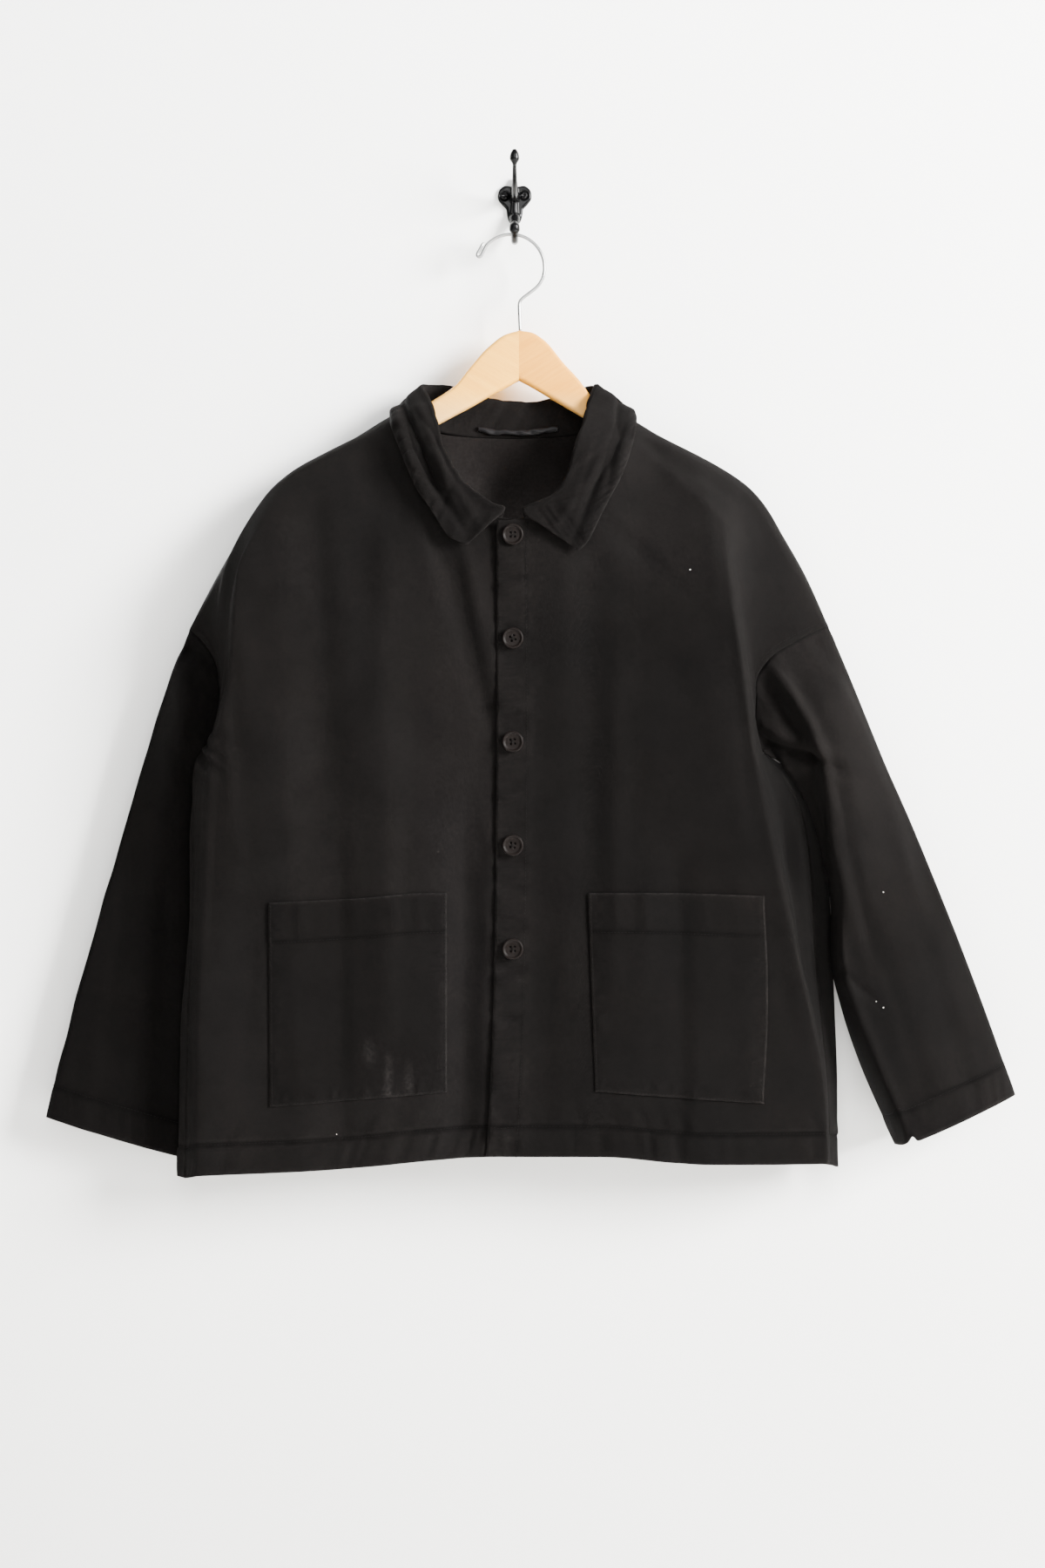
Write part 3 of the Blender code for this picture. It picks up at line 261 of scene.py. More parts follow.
def panel_grid(top, upper, lower, crowd, columns, folds):
    """A panel's outer points, rows from the top edge to the hem, as on its solid."""
    even = (np.arange(ROWS_ABOVE + 1) / ROWS_ABOVE) ** ROW_CROWD
    below = np.arange(1, ROWS_BELOW + 1) / ROWS_BELOW
    guides = [
        np.concatenate([along(a, even**power), along([a[-1]] + b, below)])
        for a, b, power in zip(upper, lower, crowd)
    ]
    guides = np.stack(guides, axis=1)
    at = np.arange(len(upper))
    grid = np.empty((len(guides), len(columns), 3))
    for r in range(len(guides)):
        for k in range(3):
            grid[r, :, k] = smooth(at, guides[r, :, k], columns)
    table = np.array(top, float)
    edge = np.stack([smooth(table[:, 0], table[:, k], columns) for k in (1, 2, 3)], axis=-1)
    change = edge - grid[0]
    for j in range(len(columns)):
        drop = np.linalg.norm((grid[:, j] - grid[0, j])[:, [0, 2]], axis=1)
        fall = np.clip(drop / max(FOLD_OVER, abs(change[j, 1])), 0, 1)
        fade = np.clip(1 - drop / 60, 0, 1) ** 2
        grid[:, j, 0] += change[j, 0] * fade
        grid[:, j, 2] += change[j, 2] * fade
        grid[:, j, 1] += change[j, 1] * (1 - np.sqrt(1 - (1 - fall) ** 2))
    span = np.linalg.norm((grid - grid[:1])[..., [0, 2]], axis=-1)
    # The folds die out at the top edge, the sides and the buttoned edge.
    last = len(upper) - 1
    side = np.clip((last - columns) / 2, 0, 1)
    if top is BACK_TOP:
        side = side * np.clip(columns / 2, 0, 1)
    else:
        side = side * np.clip(columns / 0.5 - 0.4, 0, 1)
    grid[..., 1] += fold_relief(grid[..., 0], grid[..., 2], folds) * np.clip(span / 60, 0, 1) * side
    return grid


def grid_normals(grid, ring=False):
    """Unit normals; a ring's last column joins its first."""
    if ring:
        du = np.roll(grid, -1, axis=1) - np.roll(grid, 1, axis=1)
    else:
        du = np.gradient(grid, axis=1)
    n = np.cross(du, np.gradient(grid, axis=0))
    return n / np.maximum(np.linalg.norm(n, axis=-1, keepdims=True), 1e-9)


def calm(normals, times, ring=False):
    """Normals averaged with their neighbours, so a wall of even thickness doesn't cross itself."""
    for _ in range(times):
        mean = normals.copy()
        mean[1:-1] += normals[:-2] + normals[2:]
        if ring:
            mean += np.roll(normals, 1, axis=1) + np.roll(normals, -1, axis=1)
        else:
            mean[:, 1:-1] += normals[:, :-2] + normals[:, 2:]
        normals = mean / np.linalg.norm(mean, axis=-1, keepdims=True)
    return normals


def run_across(grid, ring=False):
    """Distance along each row, from its first point."""
    wide = np.concatenate([grid, grid[:, :1]], axis=1) if ring else grid
    step = np.linalg.norm(np.diff(wide, axis=1), axis=-1)
    return np.concatenate([np.zeros((len(grid), 1)), np.cumsum(step, axis=1)], axis=1)


def run_down(grid):
    """Distance down each column, from the top row."""
    step = np.linalg.norm(np.diff(grid, axis=0), axis=-1)
    return np.concatenate([np.zeros((1, grid.shape[1])), np.cumsum(step, axis=0)], axis=0)


def add_object(name, data):
    made = bpy.data.objects.new(name, data)
    bpy.context.scene.collection.objects.link(made)
    return made


def stand_for(piece, node):
    """The piece rides on the part's body, in the place of its solid, which is hidden."""
    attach(piece, "root")
    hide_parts(node)


def wall_piece(name, outer, inner, material, wear, ring=False, inner_painted_light=0.0, paler=0.0):
    """A closed cloth wall from two grids of points, with a UV map in metres along the weave.

    The fifth argument holds edge wear and painted shade; the last two are painted light that lightens
    the inner and the outer side.
    """
    rows, cols = outer.shape[:2]
    index = np.arange(rows * cols).reshape(rows, cols)
    across = run_across(outer, ring) * MM
    down = run_down(outer) * MM
    if ring:
        index = np.concatenate([index, index[:, :1]], axis=1)
        down = np.concatenate([down, down[:, :1]], axis=1)
    far = index + rows * cols
    uv = np.stack([across, -down], axis=-1)

    def quads(grid):
        picks = [grid[:-1, :-1], grid[:-1, 1:], grid[1:, 1:], grid[1:, :-1]]
        return np.stack(picks, axis=2).reshape((-1, 4) + grid.shape[2:])

    def rim(near, off, uv_line):
        faces = np.stack([near[1:], near[:-1], off[:-1], off[1:]], axis=1)
        return faces, np.stack([uv_line[1:], uv_line[:-1], uv_line[:-1], uv_line[1:]], axis=1)

    parts = [(quads(index), quads(uv)), (quads(far)[:, ::-1], quads(uv)[:, ::-1])]
    parts.append(rim(index[0], far[0], uv[0]))
    parts.append(rim(index[-1, ::-1], far[-1, ::-1], uv[-1, ::-1]))
    if not ring:
        parts.append(rim(index[::-1, 0], far[::-1, 0], uv[::-1, 0]))
        parts.append(rim(index[:, -1], far[:, -1], uv[:, -1]))
    faces, loops = (np.concatenate(part) for part in zip(*parts))
    r, c = rows // 2, cols // 4
    turn = np.cross(outer[r, c + 1] - outer[r, c], outer[r + 1, c] - outer[r, c])
    if turn @ (outer[r, c] - inner[r, c]) < 0:
        faces, loops = faces[:, ::-1], loops[:, ::-1]
    mesh = bpy.data.meshes.new(name)
    points = np.concatenate([outer.reshape(-1, 3), inner.reshape(-1, 3)]) * MM
    mesh.from_pydata(points.tolist(), [], faces.tolist())
    mesh.uv_layers.new(name="weave").data.foreach_set("uv", loops.reshape(-1))
    # The first attribute carries edge wear and painted shade, the second painted light.
    for kind, sides in (("wear", (wear, wear * 0.5)), ("reverse", (paler, inner_painted_light))):
        values = np.concatenate([np.broadcast_to(side, (rows, cols)).reshape(-1) for side in sides])
        mesh.attributes.new(kind, "FLOAT", "POINT").data.foreach_set("value", values.astype(float))
    mesh.shade_smooth()
    mesh.materials.append(material)
    return add_object(name, mesh)


def feed(tree, node, inputs):
    """Gives a node its inputs, each as a value or as a link."""
    for key, value in inputs.items():
        if isinstance(value, bpy.types.NodeSocket):
            tree.links.new(value, node.inputs[key])
        else:
            node.inputs[key].default_value = value


def put(tree, kind, inputs=None, **settings):
    """Adds a node with its settings and inputs."""
    made = tree.nodes.new(kind)
    for key, value in settings.items():
        setattr(made, key, value)
    feed(tree, made, inputs or {})
    return made


def maths(tree, operation, *values, **settings):
    inputs = dict(enumerate(values))
    return put(tree, "ShaderNodeMath", inputs, operation=operation, **settings).outputs[0]


def noise(tree, place, scale, detail, rough=0.5):
    inputs = {"Vector": place, "Scale": scale, "Detail": detail, "Roughness": rough}
    return put(tree, "ShaderNodeTexNoise", inputs).outputs[0]


def spread(tree, value, low, high, start, end):
    """Carries a value's range from low to high over to start to end."""
    inputs = dict(enumerate((value, low, high, start, end)))
    return put(tree, "ShaderNodeMapRange", inputs).outputs[0]


def blend(tree, share, first, second, way="MIX"):
    """Mixes two colours, the second by its share; plain colours are given as (r, g, b)."""
    first, second = (c + (1,) if isinstance(c, tuple) else c for c in (first, second))
    inputs = {0: share, 6: first, 7: second}
    return put(tree, "ShaderNodeMix", inputs, data_type="RGBA", blend_type=way).outputs[2]


def raised(tree, height, strength, deep):
    inputs = {"Height": height, "Strength": strength, "Distance": deep}
    return put(tree, "ShaderNodeBump", inputs).outputs[0]


def new_finish(name, uv_map=None):
    """A new material with its tree, its shader and its coordinates: the object's, or a UV map's."""
    material = bpy.data.materials.new(name)
    material.use_nodes = True
    tree = material.node_tree
    if uv_map:
        place = put(tree, "ShaderNodeUVMap", uv_map=uv_map).outputs[0]
    else:
        place = put(tree, "ShaderNodeTexCoord").outputs["Object"]
    return material, tree, tree.nodes["Principled BSDF"], place


def twill_effect():
    """Cotton twill: slanted ribs, uneven dye, fuzz, and paler where edges have rubbed. It also paints
    shade, darker where the wear input falls below zero, and paints light, paler by the input after it.
    """
    group = bpy.data.node_groups.new("twill", "ShaderNodeTree")
    for names, way, kind in (
        (("Weave", "Place"), "INPUT", "NodeSocketVector"),
        (("Wear", "Reverse"), "INPUT", "NodeSocketFloat"),
        (("Dye",), "INPUT", "NodeSocketColor"),
        (("Rib",), "INPUT", "NodeSocketFloat"),
        (("Color",), "OUTPUT", "NodeSocketColor"),
        (("Roughness", "Height"), "OUTPUT", "NodeSocketFloat"),
    ):
        for name in names:
            group.interface.new_socket(name, in_out=way, socket_type=kind)
    given = put(group, "NodeGroupInput").outputs
    parts = put(group, "ShaderNodeSeparateXYZ", {0: given["Weave"]}).outputs
    slant = maths(group, "ADD", parts[0], parts[1])
    rib = maths(group, "SINE", maths(group, "MULTIPLY", slant, given["Rib"]))
    yarn = noise(group, given["Weave"], 1500.0, 2.0)
    slub = noise(group, given["Place"], 420.0, 4.0)
    cloud = noise(group, given["Place"], 24.0, 5.0, 0.6)
    tint = noise(group, given["Place"], 11.0, 3.0)
    brown = blend(group, tint, (1.0, 0.97, 0.93), (0.93, 0.98, 1.02))
    dyed = blend(group, 1.0, given["Dye"], brown, "MULTIPLY")
    mottle = spread(group, cloud, 0.3, 0.7, 0.77, 1.22)
    fleck = spread(group, slub, 0.3, 0.75, 0.82, 1.28)
    grain = spread(group, rib, -1.0, 1.0, 0.88, 1.12)
    rub = maths(group, "MAXIMUM", given["Wear"], 0.0)
    tone_shift = maths(group, "MULTIPLY", spread(group, slub, 0.42, 0.62, 0.15, 1.0), rub)
    # Painted shade: wear values below zero darken the cloth in grooves and shaded folds; some pieces
    # also use them for a plainly darker tone.
    painted_shade_and_tone = maths(group, "MINIMUM", given["Wear"], 0.0)
    painted_shade_and_tone = maths(group, "MULTIPLY_ADD", painted_shade_and_tone, 0.75, 1.0)
    paler = maths(group, "MULTIPLY_ADD", tone_shift, 1.5, painted_shade_and_tone)
    # Painted light: the input after the wear lightens the cloth.
    painted_lift = maths(group, "ADD", given["Reverse"], 1.0)
    total = mottle
    for factor in (fleck, grain, paler, painted_lift):
        total = maths(group, "MULTIPLY", total, factor)
    shade = put(group, "ShaderNodeVectorMath", {0: dyed, "Scale": total}, operation="SCALE").outputs[0]
    rough = spread(group, cloud, 0.3, 0.7, 0.84, 0.96)
    high = maths(group, "MULTIPLY_ADD", slub, 1.4, maths(group, "ADD", yarn, rib))
    put(group, "NodeGroupOutput", {"Color": shade, "Roughness": rough, "Height": high})
    return group


DYE = (0.0032, 0.00278, 0.00265, 1)
SCUFFED = (0.026, 0.0235, 0.0225)
RIB_PITCH = 0.85
twill = twill_effect()


def twill_material(name, scuffs=()):
    """Twill on a piece; scuffs are (x, z, half width, half height, strength) of pale rubs."""
    material, tree, shader, place = new_finish(name)
    wear, reverse = (
        put(tree, "ShaderNodeAttribute", attribute_name=kind).outputs["Fac"]
        for kind in ("wear", "reverse")
    )
    weave = put(tree, "ShaderNodeUVMap", uv_map="weave").outputs[0]
    made = put(tree, "ShaderNodeGroup", node_tree=twill)
    feed(tree, made, {"Weave": weave, "Place": place, "Wear": wear, "Reverse": reverse, "Dye": DYE,
                      "Rib": 2 * math.pi / (RIB_PITCH * MM)})
    colour = made.outputs["Color"]
    if scuffs:
        patchy = spread(tree, noise(tree, place, 420.0, 6.0), 0.36, 0.72, 0.2, 1.0)
        total = 0.0
        for x, z, wide, high, strength in scuffs:
            size = (wide * MM, 1000.0, high * MM)
            spot = {"Vector": place, "Location": (x * MM, 0, z * MM), "Scale": size}
            spot = put(tree, "ShaderNodeMapping", spot, vector_type="TEXTURE").outputs[0]
            ball = put(tree, "ShaderNodeTexGradient", {"Vector": spot}, gradient_type="SPHERICAL")
            total = maths(tree, "ADD", total, maths(tree, "MULTIPLY", ball.outputs[1], strength))
        colour = blend(tree, maths(tree, "MULTIPLY", total, patchy, use_clamp=True), colour, SCUFFED)
    feed(tree, shader, {
        "Base Color": colour, "Roughness": made.outputs["Roughness"],
        "Normal": raised(tree, made.outputs["Height"], 0.5, 0.00018), "Specular IOR Level": 0.02,
        "Sheen Weight": 0.012, "Sheen Roughness": 0.5, "Sheen Tint": (0.8, 0.75, 0.72, 1),
    })
    return material


def outward(normals, sign):
    """Turns a panel's normals to the side of Y that the sign gives."""
    middle = normals[normals.shape[0] // 2, normals.shape[1] // 2, 1]
    return normals * (1 if middle * sign > 0 else -1)


# Columns stand evenly across a panel; its guide lines lie at these distances along it.
front_u = np.interp(np.linspace(0, 262, FRONT_COLUMNS), [0, 77, 139, 196, 225, 262], np.arange(6))
back_u = np.interp(
    np.linspace(0, 600, BACK_COLUMNS), [0, 30, 70, 165, 300, 435, 530, 570, 600], np.arange(9)
)
grids = {
    "front_left": panel_grid(LEFT_TOP, LEFT_UPPER, LEFT_LOWER, TOP_CROWD, front_u, LARGE_FOLDS),
    "front_right": panel_grid(RIGHT_TOP, RIGHT_UPPER, RIGHT_LOWER, TOP_CROWD, front_u, LARGE_FOLDS),
    "back": panel_grid(BACK_TOP, BACK_UPPER, BACK_LOWER, BACK_CROWD, back_u, []),
}
armhole_share = (np.arange(ROWS_ABOVE + 1) / ROWS_ABOVE) ** ROW_CROWD
seam_seed = {"front_left": 3, "front_right": 17, "back": 29}


def panel_relief(name, grid):
    """How far a panel stands out at each point: hem, front band, puckers at seams, fine folds."""
    across = run_across(grid)
    down = run_down(grid)
    up = down[-1:] - down
    to_seam = across[:, -1:] - across
    x, z = grid[..., 0], grid[..., 2]
    seed = seam_seed[name]
    relief = 0.7 * (1 - step_at(up, HEM_DEEP, 2.2))
    relief -= 1.2 * hump(up, HEM_DEEP - HEM_THREAD, 1.8)
    relief += 1.15 * uneven(across + up * 0.18, 9, seed) * hump(up, 13, 11, 4)
    above = hump(up, HEM_DEEP + 2, 13) * step_at(up, HEM_DEEP, 2)
    relief += 0.8 * uneven(across + up * 0.45, 14, seed + 1) * above
    for k, gap in enumerate([to_seam, across] if name == "back" else [to_seam]):
        relief += 0.38 * uneven(down, 9, seed + 2 + k) * hump(gap, 0, 6.5)
        relief -= 0.35 * hump(gap, ARMHOLE_THREAD, 1.0) * (up > UNDERARM_UP)
    if name == "front_left":
        relief += 0.75 * (1 - step_at(across, BAND_WIDE, 1.4))
        relief -= 0.6 * hump(across, BAND_WIDE - BAND_THREAD, 1.1)
        bow = hump(across, 13, 12.5, 4)
        ripple = uneven(z + 0.12 * across, 19, 5) + 0.5 * uneven(z - 0.1 * across, 9, 6)
        relief += 1.9 * ripple * bow * (1.25 - across / 45).clip(0.4, 1.3)
        relief += 0.4 * uneven(z, 12, 7) * hump(across, BAND_WIDE + 4, 7)
        soft = hump(across, 9.5, 11, 4)
        for pucker, deep, slant in BAND_PUCKERS:
            near = z - pucker - slant * (across - 12)
            relief += deep * (0.8 * hump(near, 5.2, 3.2) - 1.15 * hump(near, 0, 2.0)) * soft
        for k in range(BUTTONS):
            relief -= 0.9 * hump(np.abs(z - BUTTON_TOP + BUTTON_STEP * k), 15, 4.0) * bow
    if name != "back":
        fade = np.clip(np.minimum(across / 30, to_seam / 24), 0, 1) * np.clip(down / 45, 0, 1)
        relief -= 0.62 * fold_relief(x, z, FINE_FOLDS) * fade
        relief += 0.5 * uneven(x * 0.8 + z * 0.25, 34, seed + 8) * fade
        relief += 0.4 * uneven(z * 0.5 + x * 0.2, 46, seed + 9) * fade
        if name == "front_right":
            crumple = hump(x, -262, 16) * hump(z, -486, 20)
            relief += 2.4 * uneven(z + 0.9 * x, 11, 41) * crumple * np.clip(to_seam / 5, 0, 1)
    else:
        fade = np.clip(np.minimum(across / 40, to_seam / 40), 0, 1) * np.clip(down / 50, 0, 1)
        relief -= fold_relief(x, z, BACK_FOLDS) * fade
        relief += 0.7 * uneven(x * 0.8 + z * 0.2, 38, seed + 8) * fade
    return relief


def panel_wear_and_shade(name, grid):
    """Pale rubs along edges, and painted shade: darker cloth in the stitch grooves, in the shaded fold
    at the left side and on the back's side below the left arm. The left front is also darker from the
    chest down, beside the band.
    """
    across = run_across(grid)
    up = run_down(grid)[-1:] - run_down(grid)
    x, drop = grid[..., 0], -grid[..., 2]
    wear = 0.8 * hump(up, 0, 1.8) + 0.25 * hump(up, HEM_DEEP + 1.5, 1.2)
    # Painted shade: a dark line in the hem's stitch groove.
    wear -= (0.75 + 0.35 * uneven(across, 8, 61)) * hump(up, HEM_DEEP - 2.0, 1.8)
    if name == "front_left":
        wear += 0.5 * hump(across, 0, 1.5)
        # Painted shade: a dark line in the band's stitch groove.
        wear -= (0.4 + 0.3 * uneven(-drop, 8, 62)) * hump(across, BAND_WIDE - BAND_THREAD, 1.5)
        # Painted shade: the cloth past the front's ridge, in the fold's shade, is darkened.
        ridge = np.interp(drop, [455, 514, 575, 650, 708, 760], [196, 206, 219, 236, 251, 262])
        wear -= 0.52 * step_at(x, ridge + 4, 6) * step_at(drop, 440, 60)
        wear -= 0.42 * step_at(across, 34, 20) * step_at(drop, 345, 110)
    if name == "back":
        # Painted shade: the back's side below the left arm, in the fold's shade, is darkened.
        wear -= 0.5 * step_at(x, 246, 12) * step_at(drop, 470, 30)
    return np.clip(wear, -0.9, 1)


# Each panel gets its relief, and is then drawn together with its neighbour at the side seam.
normals = {n: outward(grid_normals(g), 1 if n == "back" else -1) for n, g in grids.items()}
wear = {n: panel_wear_and_shade(n, g) for n, g in grids.items()}
for name, grid in grids.items():
    grid += normals[name] * panel_relief(name, grid)[..., None]
for name, col in (("front_left", -1), ("front_right", 0)):
    meet = (grids[name][:, -1] + grids["back"][:, col]) / 2
    grids[name][ROWS_ABOVE:, -1] = meet[ROWS_ABOVE:]
    grids["back"][ROWS_ABOVE:, col] = meet[ROWS_ABOVE:]
normals = {n: outward(grid_normals(g), 1 if n == "back" else -1) for n, g in grids.items()}
for name, col in (("front_left", -1), ("front_right", 0)):
    mean = normals[name][ROWS_ABOVE:, -1] + normals["back"][ROWS_ABOVE:, col]
    mean /= np.linalg.norm(mean, axis=-1, keepdims=True)
    normals[name][ROWS_ABOVE:, -1] = mean
    normals["back"][ROWS_ABOVE:, col] = mean
# At the shoulders the walls stand square to the seam line, so front and back meet there.
for name, grid in grids.items():
    line = grid[0]
    shoulder = np.abs(line[:, 1] + 30) < 0.9
    way = np.gradient(line, axis=0)
    rise = np.stack([-way[:, 2], np.zeros(len(way)), way[:, 0]], axis=-1)
    rise *= np.sign(rise[:, 2:3])
    rise /= np.maximum(np.linalg.norm(rise, axis=-1, keepdims=True), 1e-9)
    normals[name][0][shoulder] = rise[shoulder]


def surface_tree(outer, sign):
    """A panel's outer points as a search tree whose triangles face the given side of Y."""
    rows, cols = outer.shape[:2]
    r, k = rows // 2, cols // 2
    keep = np.cross(outer[r, k + 1] - outer[r, k], outer[r + 1, k + 1] - outer[r, k])[1] * sign > 0
    i = np.arange(rows * cols).reshape(rows, cols)
    a, b, c, d = i[:-1, :-1].ravel(), i[:-1, 1:].ravel(), i[1:, 1:].ravel(), i[1:, :-1].ravel()
    tris = np.concatenate([np.stack([a, b, c], 1), np.stack([a, c, d], 1)])
    if not keep:
        tris = tris[:, ::-1]
    return BVHTree.FromPolygons(outer.reshape(-1, 3).tolist(), tris.tolist())


outers = {}
for name, grid in grids.items():
    up = run_down(grid)[-1:] - run_down(grid)
    thick = CLOTH + 0.8 * (1 - step_at(up, HEM_DEEP, 2))
    if name == "front_left":
        thick = thick + 0.8 * (1 - step_at(run_across(grid), BAND_WIDE, 2))
    outer = grid.copy()
    inner = grid - calm(normals[name], 3) * thick[..., None]
    for col, near in ((0, 1), (-1, -2)) if name == "back" else ((-1, -2),):
        for sheet in (outer, inner):
            way = sheet[:, near] - sheet[:, col]
            way /= np.linalg.norm(way, axis=-1, keepdims=True)
            sheet[:, col] += way * SEAM_GAP / 2
    outers[name] = outer
    # Painted light: each panel's inner side is painted paler, the back's inside most of all lower down
    # below the neck, standing in for light falling into the neck.
    inside_painted_light = 0.9 + 4.6 * step_at(-grid[..., 2], 262, 90) if name == "back" else 0.9
    wall_piece(name + "_cloth", outer, inner, twill_material(name + "_twill"), wear[name], inner_painted_light=inside_painted_light)
trees = {n: surface_tree(o, 1 if n == "back" else -1) for n, o in outers.items()}

for name, cut, area in (
    ("front_left", (0.301, 0.653), 0.170),
    ("front_right", (0.302, 0.658), 0.178),
    ("back", (0.612, 0.651), 0.348),
):
    piece = bpy.data.objects[name + "_cloth"]
    stand_for(piece, name)

# ---- Sleeves ----
# Two wide one-piece sleeves of the same twill, set into dropped armholes, each folded flat
# along a front crease by its own weight and finished with a turned, stitched cuff hem.
SLEEVE_RINGS = 118
CUFF_DEEP = 30.0
NOTCH_X = 336
NOTCH_DEEP = 6.0
# Rings, as (outer x, z, inner x, z, outer y, inner y, crest, front bulge, back bulge).
LEFT_SLEEVE = [
    (288, -417, 229, -494, -34, -44, 0.50, 23, 14), (302, -452, 246, -518, -36, -42, 0.56, 25, 18),
    (318, -492, 261, -560, -38, -42, 0.68, 25, 22), (339, -540, 270, -615, -40, -42, 0.82, 25, 24),
    (362, -596, 271.5, -662, -41, -42, 0.90, 25, 25),
    (381, -644, 280, -702, -42, -42, 0.90, 26, 27),
    (405, -708, 293.5, -744, -42, -42, 0.88, 28, 29),
    (429, -776, 326, -818, -42, -42, 0.88, 32, 32),
]
RIGHT_SLEEVE = [
    (-296, -418, -273, -491, -32, -38, 0.45, 13, 8),
    (-312, -468, -269, -513, -33, -28, 0.38, 13, 8),
    (-328, -520, -256, -560, -31, -24, 0.48, 12, 10),
    (-347, -585, -245, -622, -30, -23, 0.60, 12, 12),
    (-364, -645, -245, -690, -29, -24, 0.64, 12, 12),
    (-381, -705, -254, -750, -29, -24, 0.64, 13, 13),
    (-403, -797, -272, -835, -29, -24, 0.62, 14, 14),
]
LEFT_SLEEVE_FOLDS = [
    (219, -408, 242, -442, 4.5, -2.6), (242, -442, 258, -476, 4.5, -3.0),
    (258, -476, 266, -508, 4.5, -3.0), (266, -508, 272, -564, 5, -2.4),
    (272, -564, 276, -658, 5, -1.8), (210, -424, 232, -456, 6, 3.0), (232, -456, 247, -484, 6, 2.4),
    (251, -492, 259, -540, 5, 2.6), (262, -560, 266, -640, 4, 1.6),
    (211, -474, 244, -485, 4.5, 5.0), (244, -485, 258, -491, 4, 2.5),
    (214, -462, 246, -474, 7, -4.0), (219, -490, 248, -552, 5, 4.5),
    (232, -492, 256, -560, 5, -3.0), (240, -560, 262, -640, 5, 2.0),
    (228, -428, 254, -472, 7, -2.5), (250, -440, 276, -520, 9, 2.2),
    (270, -400, 330, -540, 12, -1.6), (300, -430, 352, -600, 9, 1.4),
    (282, -560, 300, -640, 6, 1.8), (330, -560, 372, -690, 10, -1.4),
    (306, -640, 344, -760, 8, 1.5), (275, -666, 286, -676, 3, 2.2), (270, -674, 284, -684, 4, -1.2),
    (286, -690, 316, -764, 5, -1.6), (352, -640, 384, -760, 9, 1.2), (262, -392, 286, -424, 7, 1.6),
]
RIGHT_SLEEVE_FOLDS = [
    (-292, -392, -252, -398, 7, 2.6), (-284, -404, -250, -420, 6, -1.8),
    (-304, -440, -318, -560, 12, 1.8), (-286, -470, -290, -620, 10, -2.0),
    (-330, -560, -350, -700, 11, 1.8), (-300, -620, -306, -780, 10, 1.8),
    (-348, -640, -366, -780, 9, -1.5), (-284, -690, -288, -810, 8, -1.8),
    (-318, -700, -326, -800, 8, 1.4), (-362, -688, -322, -696, 4, 0.8),
]
SLEEVE_BACK_FOLDS = [
    (0.25, 30, 0.45, 190, 0.10, 2.4), (0.7, 60, 0.5, 260, 0.10, -2.2),
    (0.3, 240, 0.35, 400, 0.12, -1.8), (0.6, 300, 0.65, 420, 0.10, 1.6),
]


def sleeve_grid(table, front_edge, back_edge, share):
    """A sleeve's rings of points, from the armhole's two edges down to the cuff."""
    angle = np.pi * share
    across = (1 - np.cos(angle)) / 4 + share / 2
    rings = [np.concatenate([front_edge, back_edge[::-1][1:-1]])]
    for out_x, out_z, in_x, in_z, out_y, in_y, crest, front_bulge, back_bulge in table:
        mid_y = out_y + (in_y - out_y) * across
        near = np.sin(np.pi / 2 * np.clip(across / crest, 0, 1)) ** 0.8
        away = np.cos(np.pi / 2 * np.clip((across - crest) / (1 - crest), 0, 1)) ** 0.8
        rise = np.where(across < crest, near, away)
        x = out_x + (in_x - out_x) * across
        z = out_z + (in_z - out_z) * across
        front = np.stack([x, mid_y - front_bulge * rise, z], axis=-1)
        back = np.stack([x, mid_y + back_bulge * np.sin(angle) ** 0.9, z], axis=-1)
        front[0] = back[0]
        front[-1] = back[-1]
        rings.append(np.concatenate([front, back[::-1][1:-1]]))
    rings = np.stack(rings)
    middle = rings.mean(axis=1)
    run = np.concatenate([[0], np.cumsum(np.linalg.norm(np.diff(middle, axis=0), axis=1))])
    at = run[-1] * (np.arange(SLEEVE_RINGS + 1) / SLEEVE_RINGS) ** 1.1
    grid = np.empty((len(at), rings.shape[1], 3))
    for c in range(rings.shape[1]):
        for k in range(3):
            grid[:, c, k] = smooth(run, rings[:, c, k], at)
    return grid


def sleeve_relief(grid, normal, folds, seed):
    """How far a sleeve stands out at each point: folds, cuff hem, puckers at both ends."""
    down = run_down(grid)
    up = down[-1:] - down
    x, z = grid[..., 0], grid[..., 2]
    ahead = np.clip(-normal[..., 1] * 1.4, 0, 1)
    behind = np.clip(normal[..., 1] * 1.4, 0, 1)
    start = np.clip(down / 22, 0, 1)
    relief = -fold_relief(x, z, folds) * ahead * np.clip(down / 10, 0, 1)
    turn = np.arange(grid.shape[1]) / grid.shape[1]
    share = np.abs(turn - 0.5) * 2
    for s1, d1, s2, d2, wide, deep in SLEEVE_BACK_FOLDS:
        t = np.clip((down - d1) / (d2 - d1), 0, 1)
        past = np.maximum(np.maximum(d1 - down, down - d2), 0)
        relief -= deep * hump(1 - share[None, :], s1 + (s2 - s1) * t, wide) * hump(past, 0, 30) * behind
    relief += 0.7 * uneven(z * 0.35 + x * 0.9, 30, seed) * start
    relief += 0.35 * (1 - step_at(up, CUFF_DEEP, 1.6))
    relief -= 0.5 * hump(up, CUFF_DEEP - HEM_THREAD, 1.3)
    loop = run_across(grid, ring=True)[:, :-1]
    relief += 0.5 * uneven(loop + up * 0.3, 10, seed + 1) * hump(up, 14, 13, 4)
    relief += 0.45 * uneven(loop, 8, seed + 2) * hump(down, 0, 8) * np.clip(down / 3, 0, 1)
    return relief


def sleeve_normals(grid):
    """Unit normals that point out of the sleeve."""
    normals = grid_normals(grid, ring=True)
    out = ((grid - grid.mean(axis=1, keepdims=True)) * normals).sum() > 0
    return normals if out else -normals


